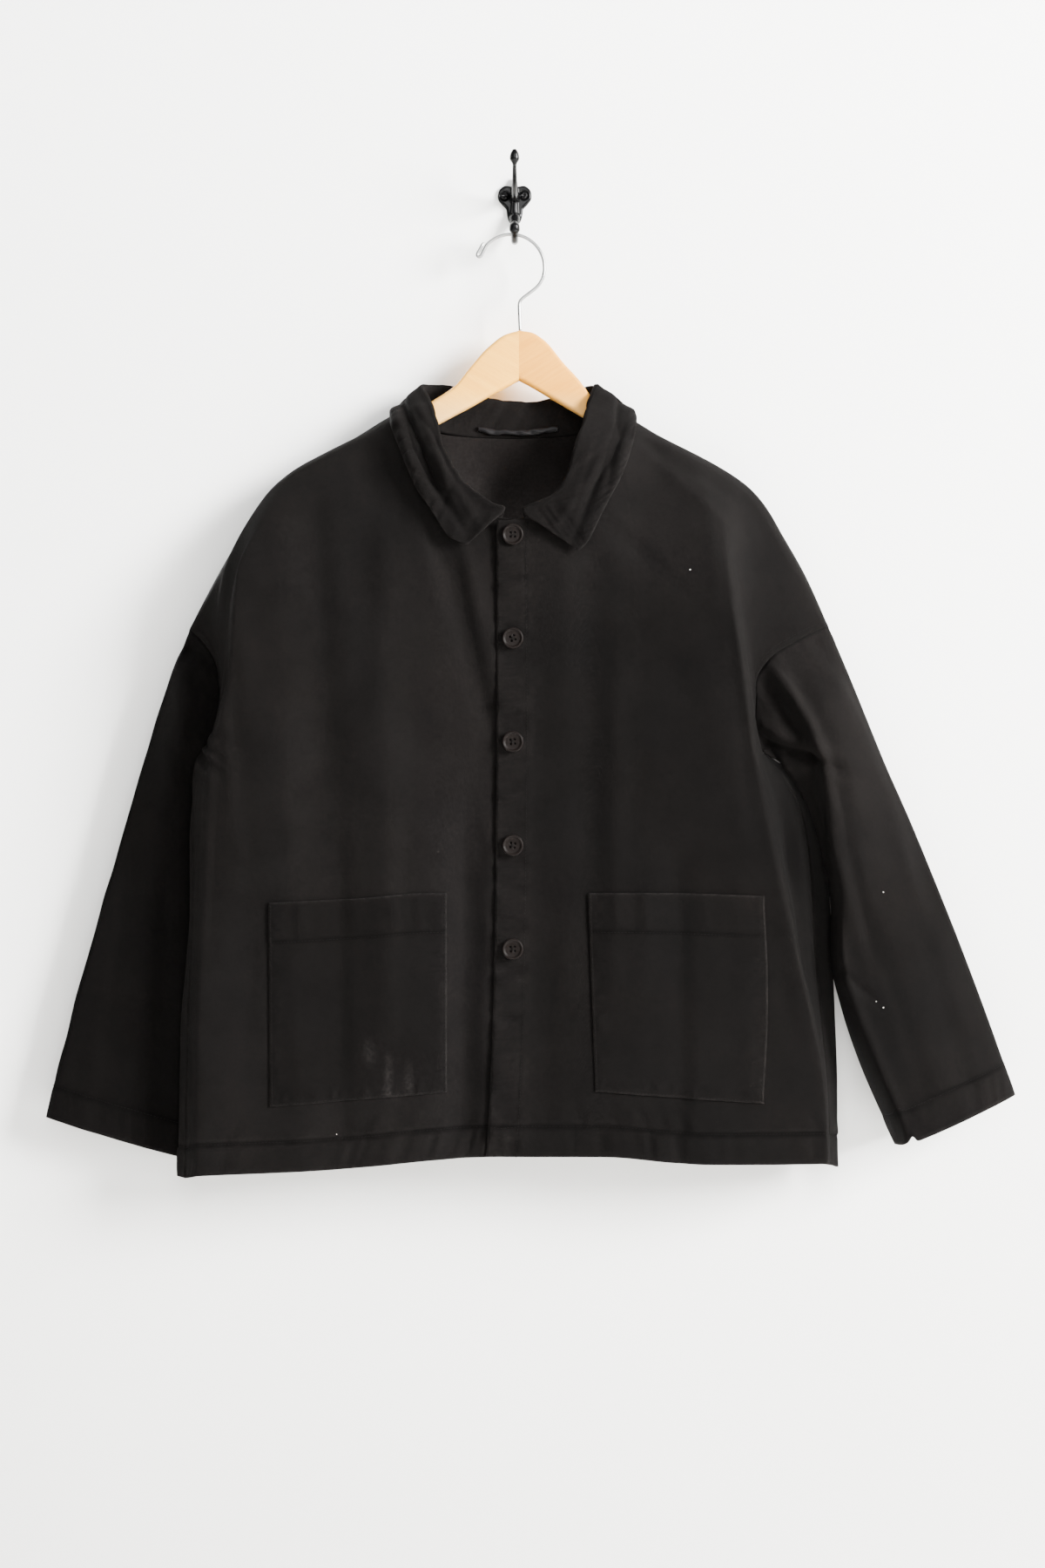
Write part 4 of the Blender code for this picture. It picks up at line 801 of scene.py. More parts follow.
rows = ROWS_ABOVE + 1
sleeve_outer = {}
for side, table, col, folds, cut, area in (
    ("left", LEFT_SLEEVE, -1, LEFT_SLEEVE_FOLDS, (0.283, 0.434), 0.0974),
    ("right", RIGHT_SLEEVE, 0, RIGHT_SLEEVE_FOLDS, (0.288, 0.438), 0.0851),
):
    name = "sleeve_" + side
    front_edge = grids["front_" + side][:rows, -1]
    back_edge = grids["back"][:rows, col].copy()
    back_edge[[0, -1]] = front_edge[[0, -1]]
    grid = sleeve_grid(table, front_edge, back_edge, armhole_share)
    normal = sleeve_normals(grid)
    grid = grid + normal * sleeve_relief(grid, normal, folds, 50 + col)[..., None]
    normal = sleeve_normals(grid)
    down = run_down(grid)
    up = down[-1:] - down
    if side == "left":
        notch = hump(grid[..., 0], NOTCH_X, 3.2) * np.clip(1 - up / 16, 0, 1)
        grid[..., 2] += NOTCH_DEEP * notch * (normal[..., 1] < 0.5)
    thick = CLOTH + 0.7 * (1 - step_at(up, CUFF_DEEP, 2))
    outer = grid.copy()
    inner = grid - calm(normal, 6, ring=True) * thick[..., None]
    for sheet in (outer, inner):
        way = sheet[1] - sheet[0]
        sheet[0] += way / np.linalg.norm(way, axis=-1, keepdims=True) * SEAM_GAP
    sleeve_outer[side] = outer
    # The cuff's edge is rubbed pale. Painted shade: a dark line in the cuff's stitch groove, the whole
    # right sleeve darker as it hangs in shade, and the left sleeve darker towards the cuff, where it is
    # lit more.
    wear_and_darkening = 0.8 * hump(up, 0, 1.8) - 0.6 * hump(up, CUFF_DEEP - 2.0, 1.8)
    wear_and_darkening -= 0.5 if side == "right" else 0.45 * step_at(down, 200, 260)
    material = twill_material(name + "_twill")
    piece = wall_piece(name + "_cloth", outer, inner, material, wear_and_darkening, ring=True)
    stand_for(piece, name)

# ---- Collar ----
# A soft shirt collar of two layers of the twill, sewn to the neck, rolled over along its
# upper line and lying open at the front, with a ridge where its seam allowance is turned.
COLLAR_CLOTH = 1.6
ROLL = 2.0
COLLAR_STEPS = 300
COLLAR_ROWS = 64
FALL_FROM = 32
COLLAR_CLEAR = 0.7
# From the right front end round the back to the left: neck seam, roll and outer edge.
COLLAR = [
    ((-10, -80, -286), (-8, -84, -278), (-40, -86, -309)),
    ((-26, -80, -281), (-23, -84, -271), (-54, -86, -303)),
    ((-45, -79, -271), (-38, -82, -261), (-70, -84, -280)),
    ((-60, -75, -257), (-51, -78, -244), (-82, -80, -262)),
    ((-72, -68, -238), (-60, -71, -225), (-92, -74, -240)),
    ((-81, -58, -218), (-66, -59, -203), (-99, -63, -222)),
    ((-89, -44, -200), (-73, -44, -182), (-106, -48, -203)),
    ((-93.5, -30, -188.5), (-79, -30, -168), (-107.5, -30, -192.5)),
    ((-88, -21, -195), (-75, -21, -165), (-104, -12, -204)),
    ((-66, -16, -206), (-54, -17, -167), (-82, -8, -219)),
    ((-30, -14.5, -210.6), (-25, -17, -176), (-35, -7, -226)),
    ((0, -14.5, -211), (5, -17, -180), (2, -7, -227)),
    ((30, -14.5, -210.6), (34, -17, -177), (37, -7, -226)),
    ((64, -16, -206), (58, -17, -168), (82, -8, -219)),
    ((81, -21, -194), (69, -21, -166), (100, -12, -206)),
    ((85.5, -30, -189.5), (70, -30, -167), (105, -30, -193)),
    ((81, -44, -203), (64, -44, -183), (104, -48, -205)),
    ((75, -58, -218), (59, -59, -202), (99, -63, -226)),
    ((70, -68, -236), (53, -71, -219), (91, -74, -249)),
    ((62, -75, -258), (47, -78, -242), (81, -80, -268)),
    ((47, -79, -274), (40, -82, -259), (71, -84, -288)),
    ((26, -80, -283), (25, -84, -271), (62, -86, -306)),
    ((8, -80, -287), (7, -84, -279), (54, -86, -314)),
]
COLLAR_FOLDS = [
    (-91, -196, -81, -226, 3.2, 2.6), (-81, -226, -71, -250, 3.6, 3.4),
    (-71, -250, -52, -281, 4.4, 2.4), (-98, -206, -86, -240, 3.6, -1.6),
    (-72, -214, -62, -242, 3.4, -1.8), (-62, -242, -40, -276, 4, -1.5),
    (-66, -218, -58, -229, 2.6, 1.8), (-86, -246, -76, -252, 2.4, 1.2),
    (-34, -290, -44, -306, 4, 1.4), (-24, -284, -34, -298, 2.6, 1.0),
    (-58, -270, -64, -282, 3, 1.0), (89, -191, 84, -226, 3.0, 2.8), (84, -226, 72, -250, 3.2, 2.8),
    (72, -250, 60, -280, 3.6, 2.2), (80, -224, 46, -250, 3.6, 2.2), (98, -200, 88, -240, 3.6, -1.7),
    (70, -226, 50, -240, 4, -1.3), (56, -262, 40, -284, 4, -1.4), (36, -282, 48, -300, 2.4, 1.3),
    (27, -279, 38, -294, 2.2, 1.3), (18, -277, 28, -290, 2.2, 1.2), (45, -288, 56, -304, 2.4, 1.2),
    (64, -238, 58, -256, 3, 1.0),
]
leaves = np.array(COLLAR, float)
at = np.linspace(0, len(leaves) - 1, COLLAR_STEPS + 1)
index = np.arange(len(leaves))
neck, roll, edge = (
    np.stack([smooth(index, leaves[:, part, k], at) for k in range(3)], axis=-1) for part in range(3)
)
# Each leaf runs from the neck seam up the stand, round the roll and down the fall.
from_middle = np.stack([roll[:, 0] * 0.5, roll[:, 1] + 36, np.zeros(len(at))], axis=-1)
up = roll - neck
tall = np.linalg.norm(up, axis=-1, keepdims=True)
up /= tall
out = np.cross(np.gradient(roll, axis=0), up)
out *= np.sign((out * from_middle).sum(axis=-1, keepdims=True))
out /= np.linalg.norm(out, axis=-1, keepdims=True)
turn = roll - up * ROLL
slant = ROLL * math.sqrt(0.5)
start = turn + out * ROLL
fall = edge - start
control = np.stack([
    neck + up * 0.5, neck + up * tall * 0.45, turn - out * ROLL, turn + (up - out) * slant, roll,
    turn + (up + out) * slant, start, start + fall * 0.33 + out * 1.6,
    start + fall * 0.67 + out * 1.2, edge,
], axis=1)
share = np.array([0, 0.16, 0.3, 0.34, 0.38, 0.42, 0.46, 0.64, 0.82, 1.0])
stretches = ((0, 0.3, 14), (0.3, 0.46, 16), (0.46, 1, COLLAR_ROWS - 28))
fine = np.unique(np.concatenate([np.linspace(*stretch) for stretch in stretches]))
collar = np.empty((len(at), len(fine), 3))
for r in range(len(at)):
    for k in range(3):
        collar[r, :, k] = smooth(share, control[r, :, k], fine)
facing = grid_normals(collar)
facing *= 1 if facing[len(at) // 2, -1, 1] > 0 else -1
to_edge = run_across(collar)[:, -1:] - run_across(collar)
length = run_down(collar)
outside = step_at(fine, 0.5, 0.08)[None, :] * np.clip(to_edge / 3, 0, 1)
relief = -fold_relief(collar[..., 0], collar[..., 2], COLLAR_FOLDS) * (facing[..., 1] < 0.1) * outside
relief += 1.3 * uneven(length, 7.0, 71) * hump(to_edge, 4, 4.5) * np.clip(to_edge / 2, 0, 1)
relief += 0.45 * hump(to_edge, 6, 5, 4) * outside
relief += 0.9 * uneven(length * 0.9 + to_edge * 0.5, 19, 73) * outside
standing = (1 - step_at(fine, 0.4, 0.1)) * step_at(fine, 0.06, 0.1)
relief += 1.2 * uneven(length, 11, 75) * standing[None, :]
collar += facing * relief[..., None]
# Where the fall sinks into a front or the back, it is lifted to lie on it.
clear = COLLAR_CLOTH / 2 + COLLAR_CLEAR
for _ in range(3):
    for r in range(len(at)):
        for c in range(FALL_FROM, len(fine)):
            for tree in trees.values():
                spot, normal = tree.find_nearest(Vector(collar[r, c]))[:2]
                away = Vector(collar[r, c]) - spot
                over = away.dot(normal)
                if abs(over) > 0.9 * away.length and -8 < over < clear:
                    collar[r, c] += np.array(normal) * (clear - over)
facing = grid_normals(collar)
facing *= 1 if facing[len(at) // 2, -1, 1] > 0 else -1
rim = np.minimum(to_edge, np.minimum(length, length[-1:] - length))
half = (COLLAR_CLOTH / 2) * (0.35 + 0.65 * np.clip(rim / 1.6, 0, 1) ** 0.5)
facing = calm(facing, 2)
# Painted light: the stand at the back of the neck, seen inside the neck, is painted up to about twice
# as pale on one face, for light falling into the neck.
stand = 1.1 * (1 - step_at(fine, 0.36, 0.14))[None, :] * step_at(roll[:, 1], -34, 20)[:, None]
wear_and_darkening = 0.75 * hump(rim, 0, 1.6) - 0.34
piece = wall_piece(
    "collar_cloth", collar + facing * half[..., None], collar - facing * half[..., None],
    twill_material("collar_twill"), wear_and_darkening, paler=stand,
)
stand_for(piece, "collar")

# ---- Pockets ----
# Two deep patch pockets of the twill, their top edges turned down and stitched across, sewn
# to the fronts round three sides; the wearer's right one is rubbed pale near its lower edge.
POCKET_HEM = 35.0
POCKET_WIDE = 149.0
POCKET_TALL = 173.0
POCKET_THREAD = 2.2
POCKET_CORNERS = {
    "left": [(62, -602), (210, -604), (210, -779), (68, -769)],
    "right": [(-57, -603), (-207, -610), (-206, -782), (-57, -770)],
}
# Pale rubs, as (x, z, half width, half height, strength).
RUBS = [
    (-122, -736, 7, 15, 0.24), (-106, -756, 5, 24, 0.24), (-89, -764, 6, 26, 0.27),
    (-107, -772, 6, 12, 0.22), (-99, -776, 5, 10, 0.18), (-124, -776, 7, 12, 0.14),
]


def front_y(tree, x, z):
    """How far out a panel's outer side lies, seen from the front."""
    return tree.ray_cast(Vector((x, -200, z)), Vector((0, 1, 0)))[0].y


pocket_lines = {}
for side, corners in POCKET_CORNERS.items():
    name = "pocket_" + side
    wide = np.linspace(0, 1, 84)
    deep = np.linspace(0, 1, 98)
    s, t = np.meshgrid(wide, deep)
    a, b, c, d = (np.array(p, float) for p in corners)
    flat = a * ((1 - s) * (1 - t))[..., None] + b * (s * (1 - t))[..., None]
    flat = flat + c * (s * t)[..., None] + d * ((1 - s) * t)[..., None]
    x, z = flat[..., 0].copy(), flat[..., 1].copy()
    if side == "right":
        z += 2.1 * hump(s, 0.18, 0.22) * (1 - t)
    else:
        x += 3.2 * np.sin(np.pi * np.clip(t * 1.15 - 0.08, 0, 1)) * s**3
        z += 1.2 * np.sin(np.pi * s) * (1 - t)
    from_side = np.minimum(s, 1 - s) * POCKET_WIDE
    from_top = t * POCKET_TALL
    from_low = (1 - t) * POCKET_TALL
    rim = np.minimum(np.minimum(from_side, from_low), from_top)
    lift = 1.25 + 0.35 * np.clip(rim / 6, 0, 1)
    lift += 0.5 * (1 - step_at(from_top, POCKET_HEM, 1.6))
    lift -= 0.5 * hump(from_top, POCKET_HEM - HEM_THREAD, 1.2)
    sewn = np.minimum(from_side, from_low)
    lift -= 0.4 * hump(sewn, POCKET_THREAD, 1.0)
    seed = 81 if side == "left" else 91
    where = np.where(from_side < from_low, z, x)
    lift += 0.6 * uneven(where, 8, seed) * hump(sewn, 6.5, 5.0)
    turned = (1 - step_at(from_top, POCKET_HEM - 3, 4)) * np.clip(from_top / 3, 0, 1)
    lift += 0.5 * uneven(x + 0.08 * z, 14, seed + 1) * turned
    lift += 0.25 * uneven(x * 0.9 + z * 0.3, 34, seed + 2)
    lift = np.maximum(lift, 0.85)
    y = np.empty_like(x)
    for index in np.ndindex(x.shape):
        y[index] = front_y(trees["front_" + side], x[index], z[index])
    outer = np.stack([x, y - lift, z], axis=-1)
    inner = np.stack([x, y - 0.18, z], axis=-1)
    # Pale worn rims, and painted shade: a dark line in the hem's stitch groove. The whole pocket is
    # also a shade darker.
    tone_shift = 1.1 * hump(rim, 0, 1.4) - 0.5 * hump(from_top, POCKET_HEM - HEM_THREAD, 1.6) - 0.36
    material = twill_material(name + "_twill", scuffs=RUBS if side == "right" else ())
    piece = wall_piece(name + "_cloth", outer, inner, material, tone_shift)
    stand_for(piece, name)
    cut, area = {"left": ((0.150, 0.176), 0.0257), "right": ((0.152, 0.173), 0.0261)}[side]
    rows_in = np.argmin(np.abs(deep - 1 + POCKET_THREAD / POCKET_TALL))
    left_in = np.argmin(np.abs(wide - POCKET_THREAD / POCKET_WIDE))
    right_in = np.argmin(np.abs(wide - 1 + POCKET_THREAD / POCKET_WIDE))
    hem_row = np.argmin(np.abs(deep * POCKET_TALL - POCKET_HEM + HEM_THREAD))
    u_line = [outer[r, left_in] for r in range(2, rows_in)]
    u_line += [outer[rows_in, k] for k in range(left_in, right_in + 1)]
    u_line += [outer[r, right_in] for r in range(rows_in - 1, 1, -1)]
    pocket_lines[side] = [np.array(u_line), outer[hem_row, left_in:right_in + 1]]

# ---- Hanging loop ----
# A flat loop of dark satin tape, its two ends tacked down inside the back neck.
LOOP_WIDE = 4.8
TAPE = 0.7
LOOP_LONG = 70
LOOP_START = -32
shares = np.linspace(0, 1, 60)
bow = np.sin(np.pi * shares)
tape = np.linspace(-1, 1, 7)
run = LOOP_LONG * shares
x = LOOP_START + run[:, None] + 0 * tape
tacked = hump(np.minimum(run, LOOP_LONG - run), 0, 5)
half_wide = LOOP_WIDE / 2 * (1 - 0.22 * tacked + 0.2 * uneven(run, 9, 12))
z = -202.5 - 4.5 * bow[:, None] - 1.0 * uneven(run, 13, 5)[:, None] + tape * half_wide[:, None]
y = -17.5 - 1.4 * bow[:, None] - 0.6 * (1 - tape**2) - 0.9 * uneven(run[:, None] + tape * 3, 11, 9)
outer = np.stack([x, np.minimum(y, -17.3), z], axis=-1)
satin, tree, shader, weave = new_finish("satin_tape", "weave")
lines = put(tree, "ShaderNodeMapping", {"Vector": weave, "Scale": (300.0, 4000.0, 1.0)}).outputs[0]
thread = noise(tree, lines, 1.0, 3.0)
feed(tree, shader, {
    "Base Color": blend(tree, thread, (0.0024, 0.0021, 0.0023), (0.0064, 0.0058, 0.0062)),
    "Roughness": 0.4, "Specular IOR Level": 0.1, "Normal": raised(tree, thread, 0.3, 0.0001),
})
inner = outer + np.array([0, TAPE, 0])
piece = wall_piece("hang_loop_tape", outer, inner, satin, np.zeros(outer.shape[:2]))
stand_for(piece, "hang_loop")

# ---- Seam stitching ----
# Rows of matching cotton thread: hems, front band, armholes, sides, cuffs and pockets. The
# buttonholes lie hidden under the buttons.
STITCH_SIZES = {"Step": 2.9, "Length": 2.1, "Thickness": 0.5}
THREAD_PROUD = 0.12


def line_at(grid, run, value):
    """The points of a grid's rows where the distance run passes a value."""
    points = []
    for r in range(len(grid)):
        if run[r].min() < value < run[r].max():
            points.append([np.interp(value, run[r], grid[r, :, k]) for k in range(3)])
    return np.array(points)


paths = []
for name, outer in outers.items():
    lifted = outer + outward(grid_normals(outer), 1 if name == "back" else -1) * THREAD_PROUD
    up = (run_down(outer)[-1:] - run_down(outer)).T[:, ::-1]
    turned = lifted.transpose(1, 0, 2)[:, ::-1]
    paths.append(line_at(turned, up, HEM_DEEP - HEM_THREAD))
    across = run_across(outer)
    if name == "front_left":
        paths.append(line_at(lifted, across, BAND_WIDE - BAND_THREAD))
    back_run = (across[:, -1:] - across)[:, ::-1]
    armhole, side = slice(4, ROWS_ABOVE - 6), slice(ROWS_ABOVE + 6, None)
    paths.append(line_at(lifted[armhole, ::-1], back_run[armhole], ARMHOLE_THREAD))
    if name == "back":
        paths.append(line_at(lifted[armhole], across[armhole], ARMHOLE_THREAD))
    else:
        paths.append(line_at(lifted[side, ::-1], back_run[side], SIDE_THREAD))
for outer in sleeve_outer.values():
    lifted = outer + sleeve_normals(outer) * THREAD_PROUD
    up = (run_down(outer)[-1:] - run_down(outer)).T[:, ::-1]
    line = line_at(lifted.transpose(1, 0, 2)[:, ::-1], up, CUFF_DEEP - HEM_THREAD)
    paths.append(np.concatenate([line, line[:1]]))
for lines in pocket_lines.values():
    paths += [line - np.array([0, THREAD_PROUD, 0]) for line in lines]

thread_cotton, tree, shader, place = new_finish("seam_thread")
fibre = noise(tree, place, 900.0, 3.0)
feed(tree, shader, {
    "Base Color": blend(tree, fibre, (0.0022, 0.0019, 0.0018), (0.0046, 0.0040, 0.0037)),
    "Roughness": 0.7, "Specular IOR Level": 0.04, "Normal": raised(tree, fibre, 0.3, 0.0001),
})


def stitch_tree(material):
    """Short thick threads laid end to end along each seam line."""
    group = bpy.data.node_groups.new("stitches", "GeometryNodeTree")
    for name in ("Seams", *STITCH_SIZES, "Stitches"):
        way = "OUTPUT" if name == "Stitches" else "INPUT"
        kind = "NodeSocketFloat" if name in STITCH_SIZES else "NodeSocketGeometry"
        group.interface.new_socket(name, in_out=way, socket_type=kind)
    given = put(group, "NodeGroupInput").outputs
    seam = {"Curve": given["Seams"], "Length": given["Step"]}
    line = put(group, "GeometryNodeResampleCurve", seam, mode="LENGTH").outputs[0]
    bead = put(group, "GeometryNodeMeshUVSphere", {"Segments": 6, "Rings": 5, "Radius": 0.5}).outputs[0]
    size = {0: given["Thickness"], 1: given["Thickness"], 2: given["Length"]}
    size = put(group, "ShaderNodeCombineXYZ", size).outputs[0]
    bead = put(group, "GeometryNodeTransform", {"Geometry": bead, "Scale": size}).outputs[0]
    way = put(group, "GeometryNodeInputTangent").outputs[0]
    turn = put(group, "FunctionNodeAlignRotationToVector", {"Vector": way}, axis="Z").outputs[0]
    beads = {"Points": line, "Instance": bead, "Rotation": turn}
    laid = put(group, "GeometryNodeInstanceOnPoints", beads).outputs[0]
    solid = put(group, "GeometryNodeRealizeInstances", {"Geometry": laid}).outputs[0]
    done = put(group, "GeometryNodeSetMaterial", {"Geometry": solid, "Material": material}).outputs[0]
    put(group, "NodeGroupOutput", {"Stitches": done})
    return group


def plain_mesh(piece):
    """The piece's mesh as its modifiers leave it."""
    return bpy.data.meshes.new_from_object(piece.evaluated_get(bpy.context.evaluated_depsgraph_get()))


seams = bpy.data.curves.new("seam_lines", "CURVE")
seams.dimensions = "3D"
for path in paths:
    spline = seams.splines.new("POLY")
    spline.points.add(len(path) - 1)
    for point, place in zip(spline.points, path):
        point.co = (*(place * MM), 1)
line_object = add_object("seam_lines", seams)
sewing = line_object.modifiers.new("stitches", "NODES")
sewing.node_group = stitch_tree(thread_cotton)
for item in sewing.node_group.interface.items_tree:
    if item.name in STITCH_SIZES:
        sewing[item.identifier] = STITCH_SIZES[item.name] * MM
sewn = plain_mesh(line_object)
bpy.data.objects.remove(line_object)
sewn.shade_smooth()
piece = add_object("seam_stitches", sewn)
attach(piece, "root")

# ---- Buttons ----
# Five round four-hole buttons of dark moulded plastic with a raised rim, sewn on through
# the front band with crossed thread.
BUTTON_X = -1.5
BUTTON_RADIUS = 9.0
HOLE_OUT = 1.75
HOLE_RADIUS = 1.0
HOLE_TURN = [0, 22, 6, -9, 4]
# A bar of thread from hole to hole, as (share of the way, height over the seat).
THREAD_BAR = [(0.0, 0.6), (0.1, 2.0), (0.3, 2.45), (0.5, 2.6), (0.7, 2.45), (0.9, 2.0), (1.0, 0.6)]
BUTTON_PROFILE = [
    (0, 0), (6.8, 0), (8.2, 0.6), (8.9, 1.5), (9.0, 2.2), (8.85, 2.8), (8.5, 3.2), (8.0, 3.4),
    (7.5, 3.3), (7.1, 2.95), (6.8, 2.6), (6.3, 2.35), (5.4, 2.25), (3.6, 2.2), (0, 2.2),
]


def add_piece(name, bm, material):
    """Makes a shape an object, smooth but for its flat caps."""
    mesh = bpy.data.meshes.new(name)
    bmesh.ops.recalc_face_normals(bm, faces=bm.faces)
    bm.to_mesh(mesh)
    bm.free()
    for poly in mesh.polygons:
        poly.use_smooth = len(poly.vertices) <= 4
    mesh.materials.append(material)
    return add_object(name, mesh)


def skin(bm, rings):
    """Joins rings of points into a closed shape, with a cap at each end."""
    for a, b in zip(rings, rings[1:]):
        for i in range(len(a)):
            j = (i + 1) % len(a)
            bm.faces.new((a[i], a[j], b[j], b[i]))
    bm.faces.new(rings[0])
    bm.faces.new(rings[-1])


def lathe(bm, profile, centre, sides):
    """Turns (radius, height) pairs about a line along Y; height runs towards the viewer, -Y."""
    rings = []
    for radius, height in profile:
        count = 1 if radius == 0 else sides
        ring = []
        for i in range(count):
            a = 2 * math.pi * i / count
            offset = Vector((radius * math.cos(a), -height, radius * math.sin(a)))
            ring.append(bm.verts.new((Vector(centre) + offset) * MM))
        rings.append(ring)
    for a, b in zip(rings, rings[1:]):
        for i in range(sides):
            j = (i + 1) % sides
            if len(a) == 1:
                bm.faces.new((a[0], b[i], b[j]))
            elif len(b) == 1:
                bm.faces.new((a[i], a[j], b[0]))
            else:
                bm.faces.new((a[i], a[j], b[j], b[i]))


def tube(bm, path, radii, guide, sides):
    """A closed round bar through a path; guide stands square to its plane."""
    path = [Vector(p) for p in path]
    rings = []
    for i, p in enumerate(path):
        way = (path[min(i + 1, len(path) - 1)] - path[max(i - 1, 0)]).normalized()
        side = way.cross(guide).normalized()
        other = way.cross(side)
        ring = []
        for k in range(sides):
            a = 2 * math.pi * k / sides
            ring.append(bm.verts.new((p + (side * math.cos(a) + other * math.sin(a)) * radii[i]) * MM))
        rings.append(ring)
    skin(bm, rings)


def cut_away(target, bm):
    """Cuts the closed shapes in bm out of the target."""
    tool = add_piece("tool", bm, target.data.materials[0])
    mod = target.modifiers.new("cut", "BOOLEAN")
    mod.operation = "DIFFERENCE"
    mod.solver = "EXACT"
    mod.object = tool
    made = plain_mesh(target)
    target.modifiers.clear()
    target.data = made
    bpy.data.objects.remove(tool)


plastic, tree, shader, place = new_finish("button_plastic")
cloud = noise(tree, place, 320.0, 4.0)
feed(tree, shader, {
    "Base Color": blend(tree, cloud, (0.0026, 0.0019, 0.0017), (0.0046, 0.0034, 0.0030)),
    "Roughness": spread(tree, cloud, 0.3, 0.7, 0.3, 0.5), "Specular IOR Level": 0.042,
    "Normal": raised(tree, cloud, 0.15, 0.0002),
})
thread_bm = bmesh.new()
for number in range(1, BUTTONS + 1):
    z = BUTTON_TOP - BUTTON_STEP * (number - 1)
    turns = np.arange(12) * math.pi / 6
    spots = [(0, 0)] + [(BUTTON_RADIUS * math.cos(a), BUTTON_RADIUS * math.sin(a)) for a in turns]
    seat = min(front_y(trees["front_left"], BUTTON_X + dx, z + dz) for dx, dz in spots) - 0.1
    bm = bmesh.new()
    lathe(bm, BUTTON_PROFILE, (BUTTON_X, seat, z), 56)
    button = add_piece("button_%d_face" % number, bm, plastic)
    bm = bmesh.new()
    turn = math.radians(HOLE_TURN[number - 1])
    holes = []
    for corner in range(4):
        dx, dz = HOLE_OUT * (corner // 2 * 2 - 1), HOLE_OUT * (corner % 2 * 2 - 1)
        hx = BUTTON_X + dx * math.cos(turn) - dz * math.sin(turn)
        hz = z + dx * math.sin(turn) + dz * math.cos(turn)
        holes.append(Vector((hx, 0, hz)))
        lathe(bm, [(0, -1), (HOLE_RADIUS, -1), (HOLE_RADIUS, 5), (0, 5)], (hx, seat, hz), 16)
    cut_away(button, bm)
    stand_for(button, "button_%d" % number)
    for low, high in ((holes[0], holes[3]), (holes[1], holes[2])):
        across = (high - low).normalized().cross(Vector((0, 1, 0)))
        for lane in (-0.2, 0.2):
            bar = []
            for share, proud in THREAD_BAR:
                bar.append(low.lerp(high, share) + across * lane + Vector((0, seat - proud, 0)))
            tube(thread_bm, bar, [0.19] * len(bar), across, 6)
piece = add_piece("button_thread", thread_bm, thread_cotton)
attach(piece, "root")

# ---- Wooden hanger ----
# Two arms of pale natural beech, shaped round their edges and glued together at the middle,
# the grain of each running along its arm.
HANGER_Y = -30.0
WOOD_DEEP = 12.0
WOOD_ROUND = 4.6
# Painted shade: between these two heights the wood's colour turns to a duller brown, where the arms'
# low ends sit in the collar's shade.
SHADE_TINT_ABOVE = -172
SHADE_TINT_BELOW = -196
# Stations out from the middle, as (x, top, underside).
RIGHT_ARM = [
    (3.75, -120.0, -163.0), (-8, -123.5, -169.5), (-23, -134.5, -177.5), (-37, -150, -185.5),
    (-52, -168, -193.5), (-72, -181.5, -204.0), (-84, -190.0, -209.5), (-94, -197.0, -215.0),
    (-133, -213.6, -234.0), (-163, -228.4, -248.0), (-178, -236.4, -253.5), (-184, -241.0, -252.0),
]
LEFT_ARM = [
    (3.75, -120.0, -163.0), (14, -121.5, -168.5), (25, -128.0, -175.0), (43, -149.0, -185.5),
    (55, -162.0, -192.5), (66, -177.0, -199.0), (76, -189.0, -204.0), (88, -198.0, -210.5),
    (124, -213.6, -230.0), (152, -228.2, -246.0), (168, -236.6, -253.0), (175, -241.0, -251.5),
]


def wood_material(name, pale, dark, slope):
    """Fine straight grain along the arm, small pores, a thin satin lacquer."""
    material, tree, shader, place = new_finish(name)
    turned = put(tree, "ShaderNodeMapping", {"Vector": place, "Rotation": (0, slope, 0)}).outputs[0]
    long_way, pore_way = (
        put(tree, "ShaderNodeMapping", {"Vector": turned, "Scale": scale}).outputs[0]
        for scale in ((9.0, 170.0, 170.0), (140.0, 1400.0, 1400.0))
    )
    streak = noise(tree, long_way, 1.6, 6.0, 0.62)
    pore = noise(tree, pore_way, 1.0, 2.0)
    colour = blend(tree, spread(tree, streak, 0.35, 0.68, 0.0, 1.0), pale, dark)
    deeper = tuple(c * 0.8 for c in dark)
    colour = blend(tree, spread(tree, pore, 0.58, 0.75, 0.0, 0.35), colour, deeper)
    height = put(tree, "ShaderNodeSeparateXYZ", {0: place}).outputs[2]
    # Painted shade: toward the arms' low ends the colour is blended to a duller brown.
    shade_tint = spread(tree, height, SHADE_TINT_ABOVE * MM, SHADE_TINT_BELOW * MM, 0.0, 0.75)
    feed(tree, shader, {
        "Base Color": blend(tree, shade_tint, colour, (0.60, 0.36, 0.13)),
        "Roughness": spread(tree, streak, 0.3, 0.7, 0.42, 0.55),
        "Normal": raised(tree, pore, 0.12, 0.0001), "Specular IOR Level": 0.12,
    })
    return material


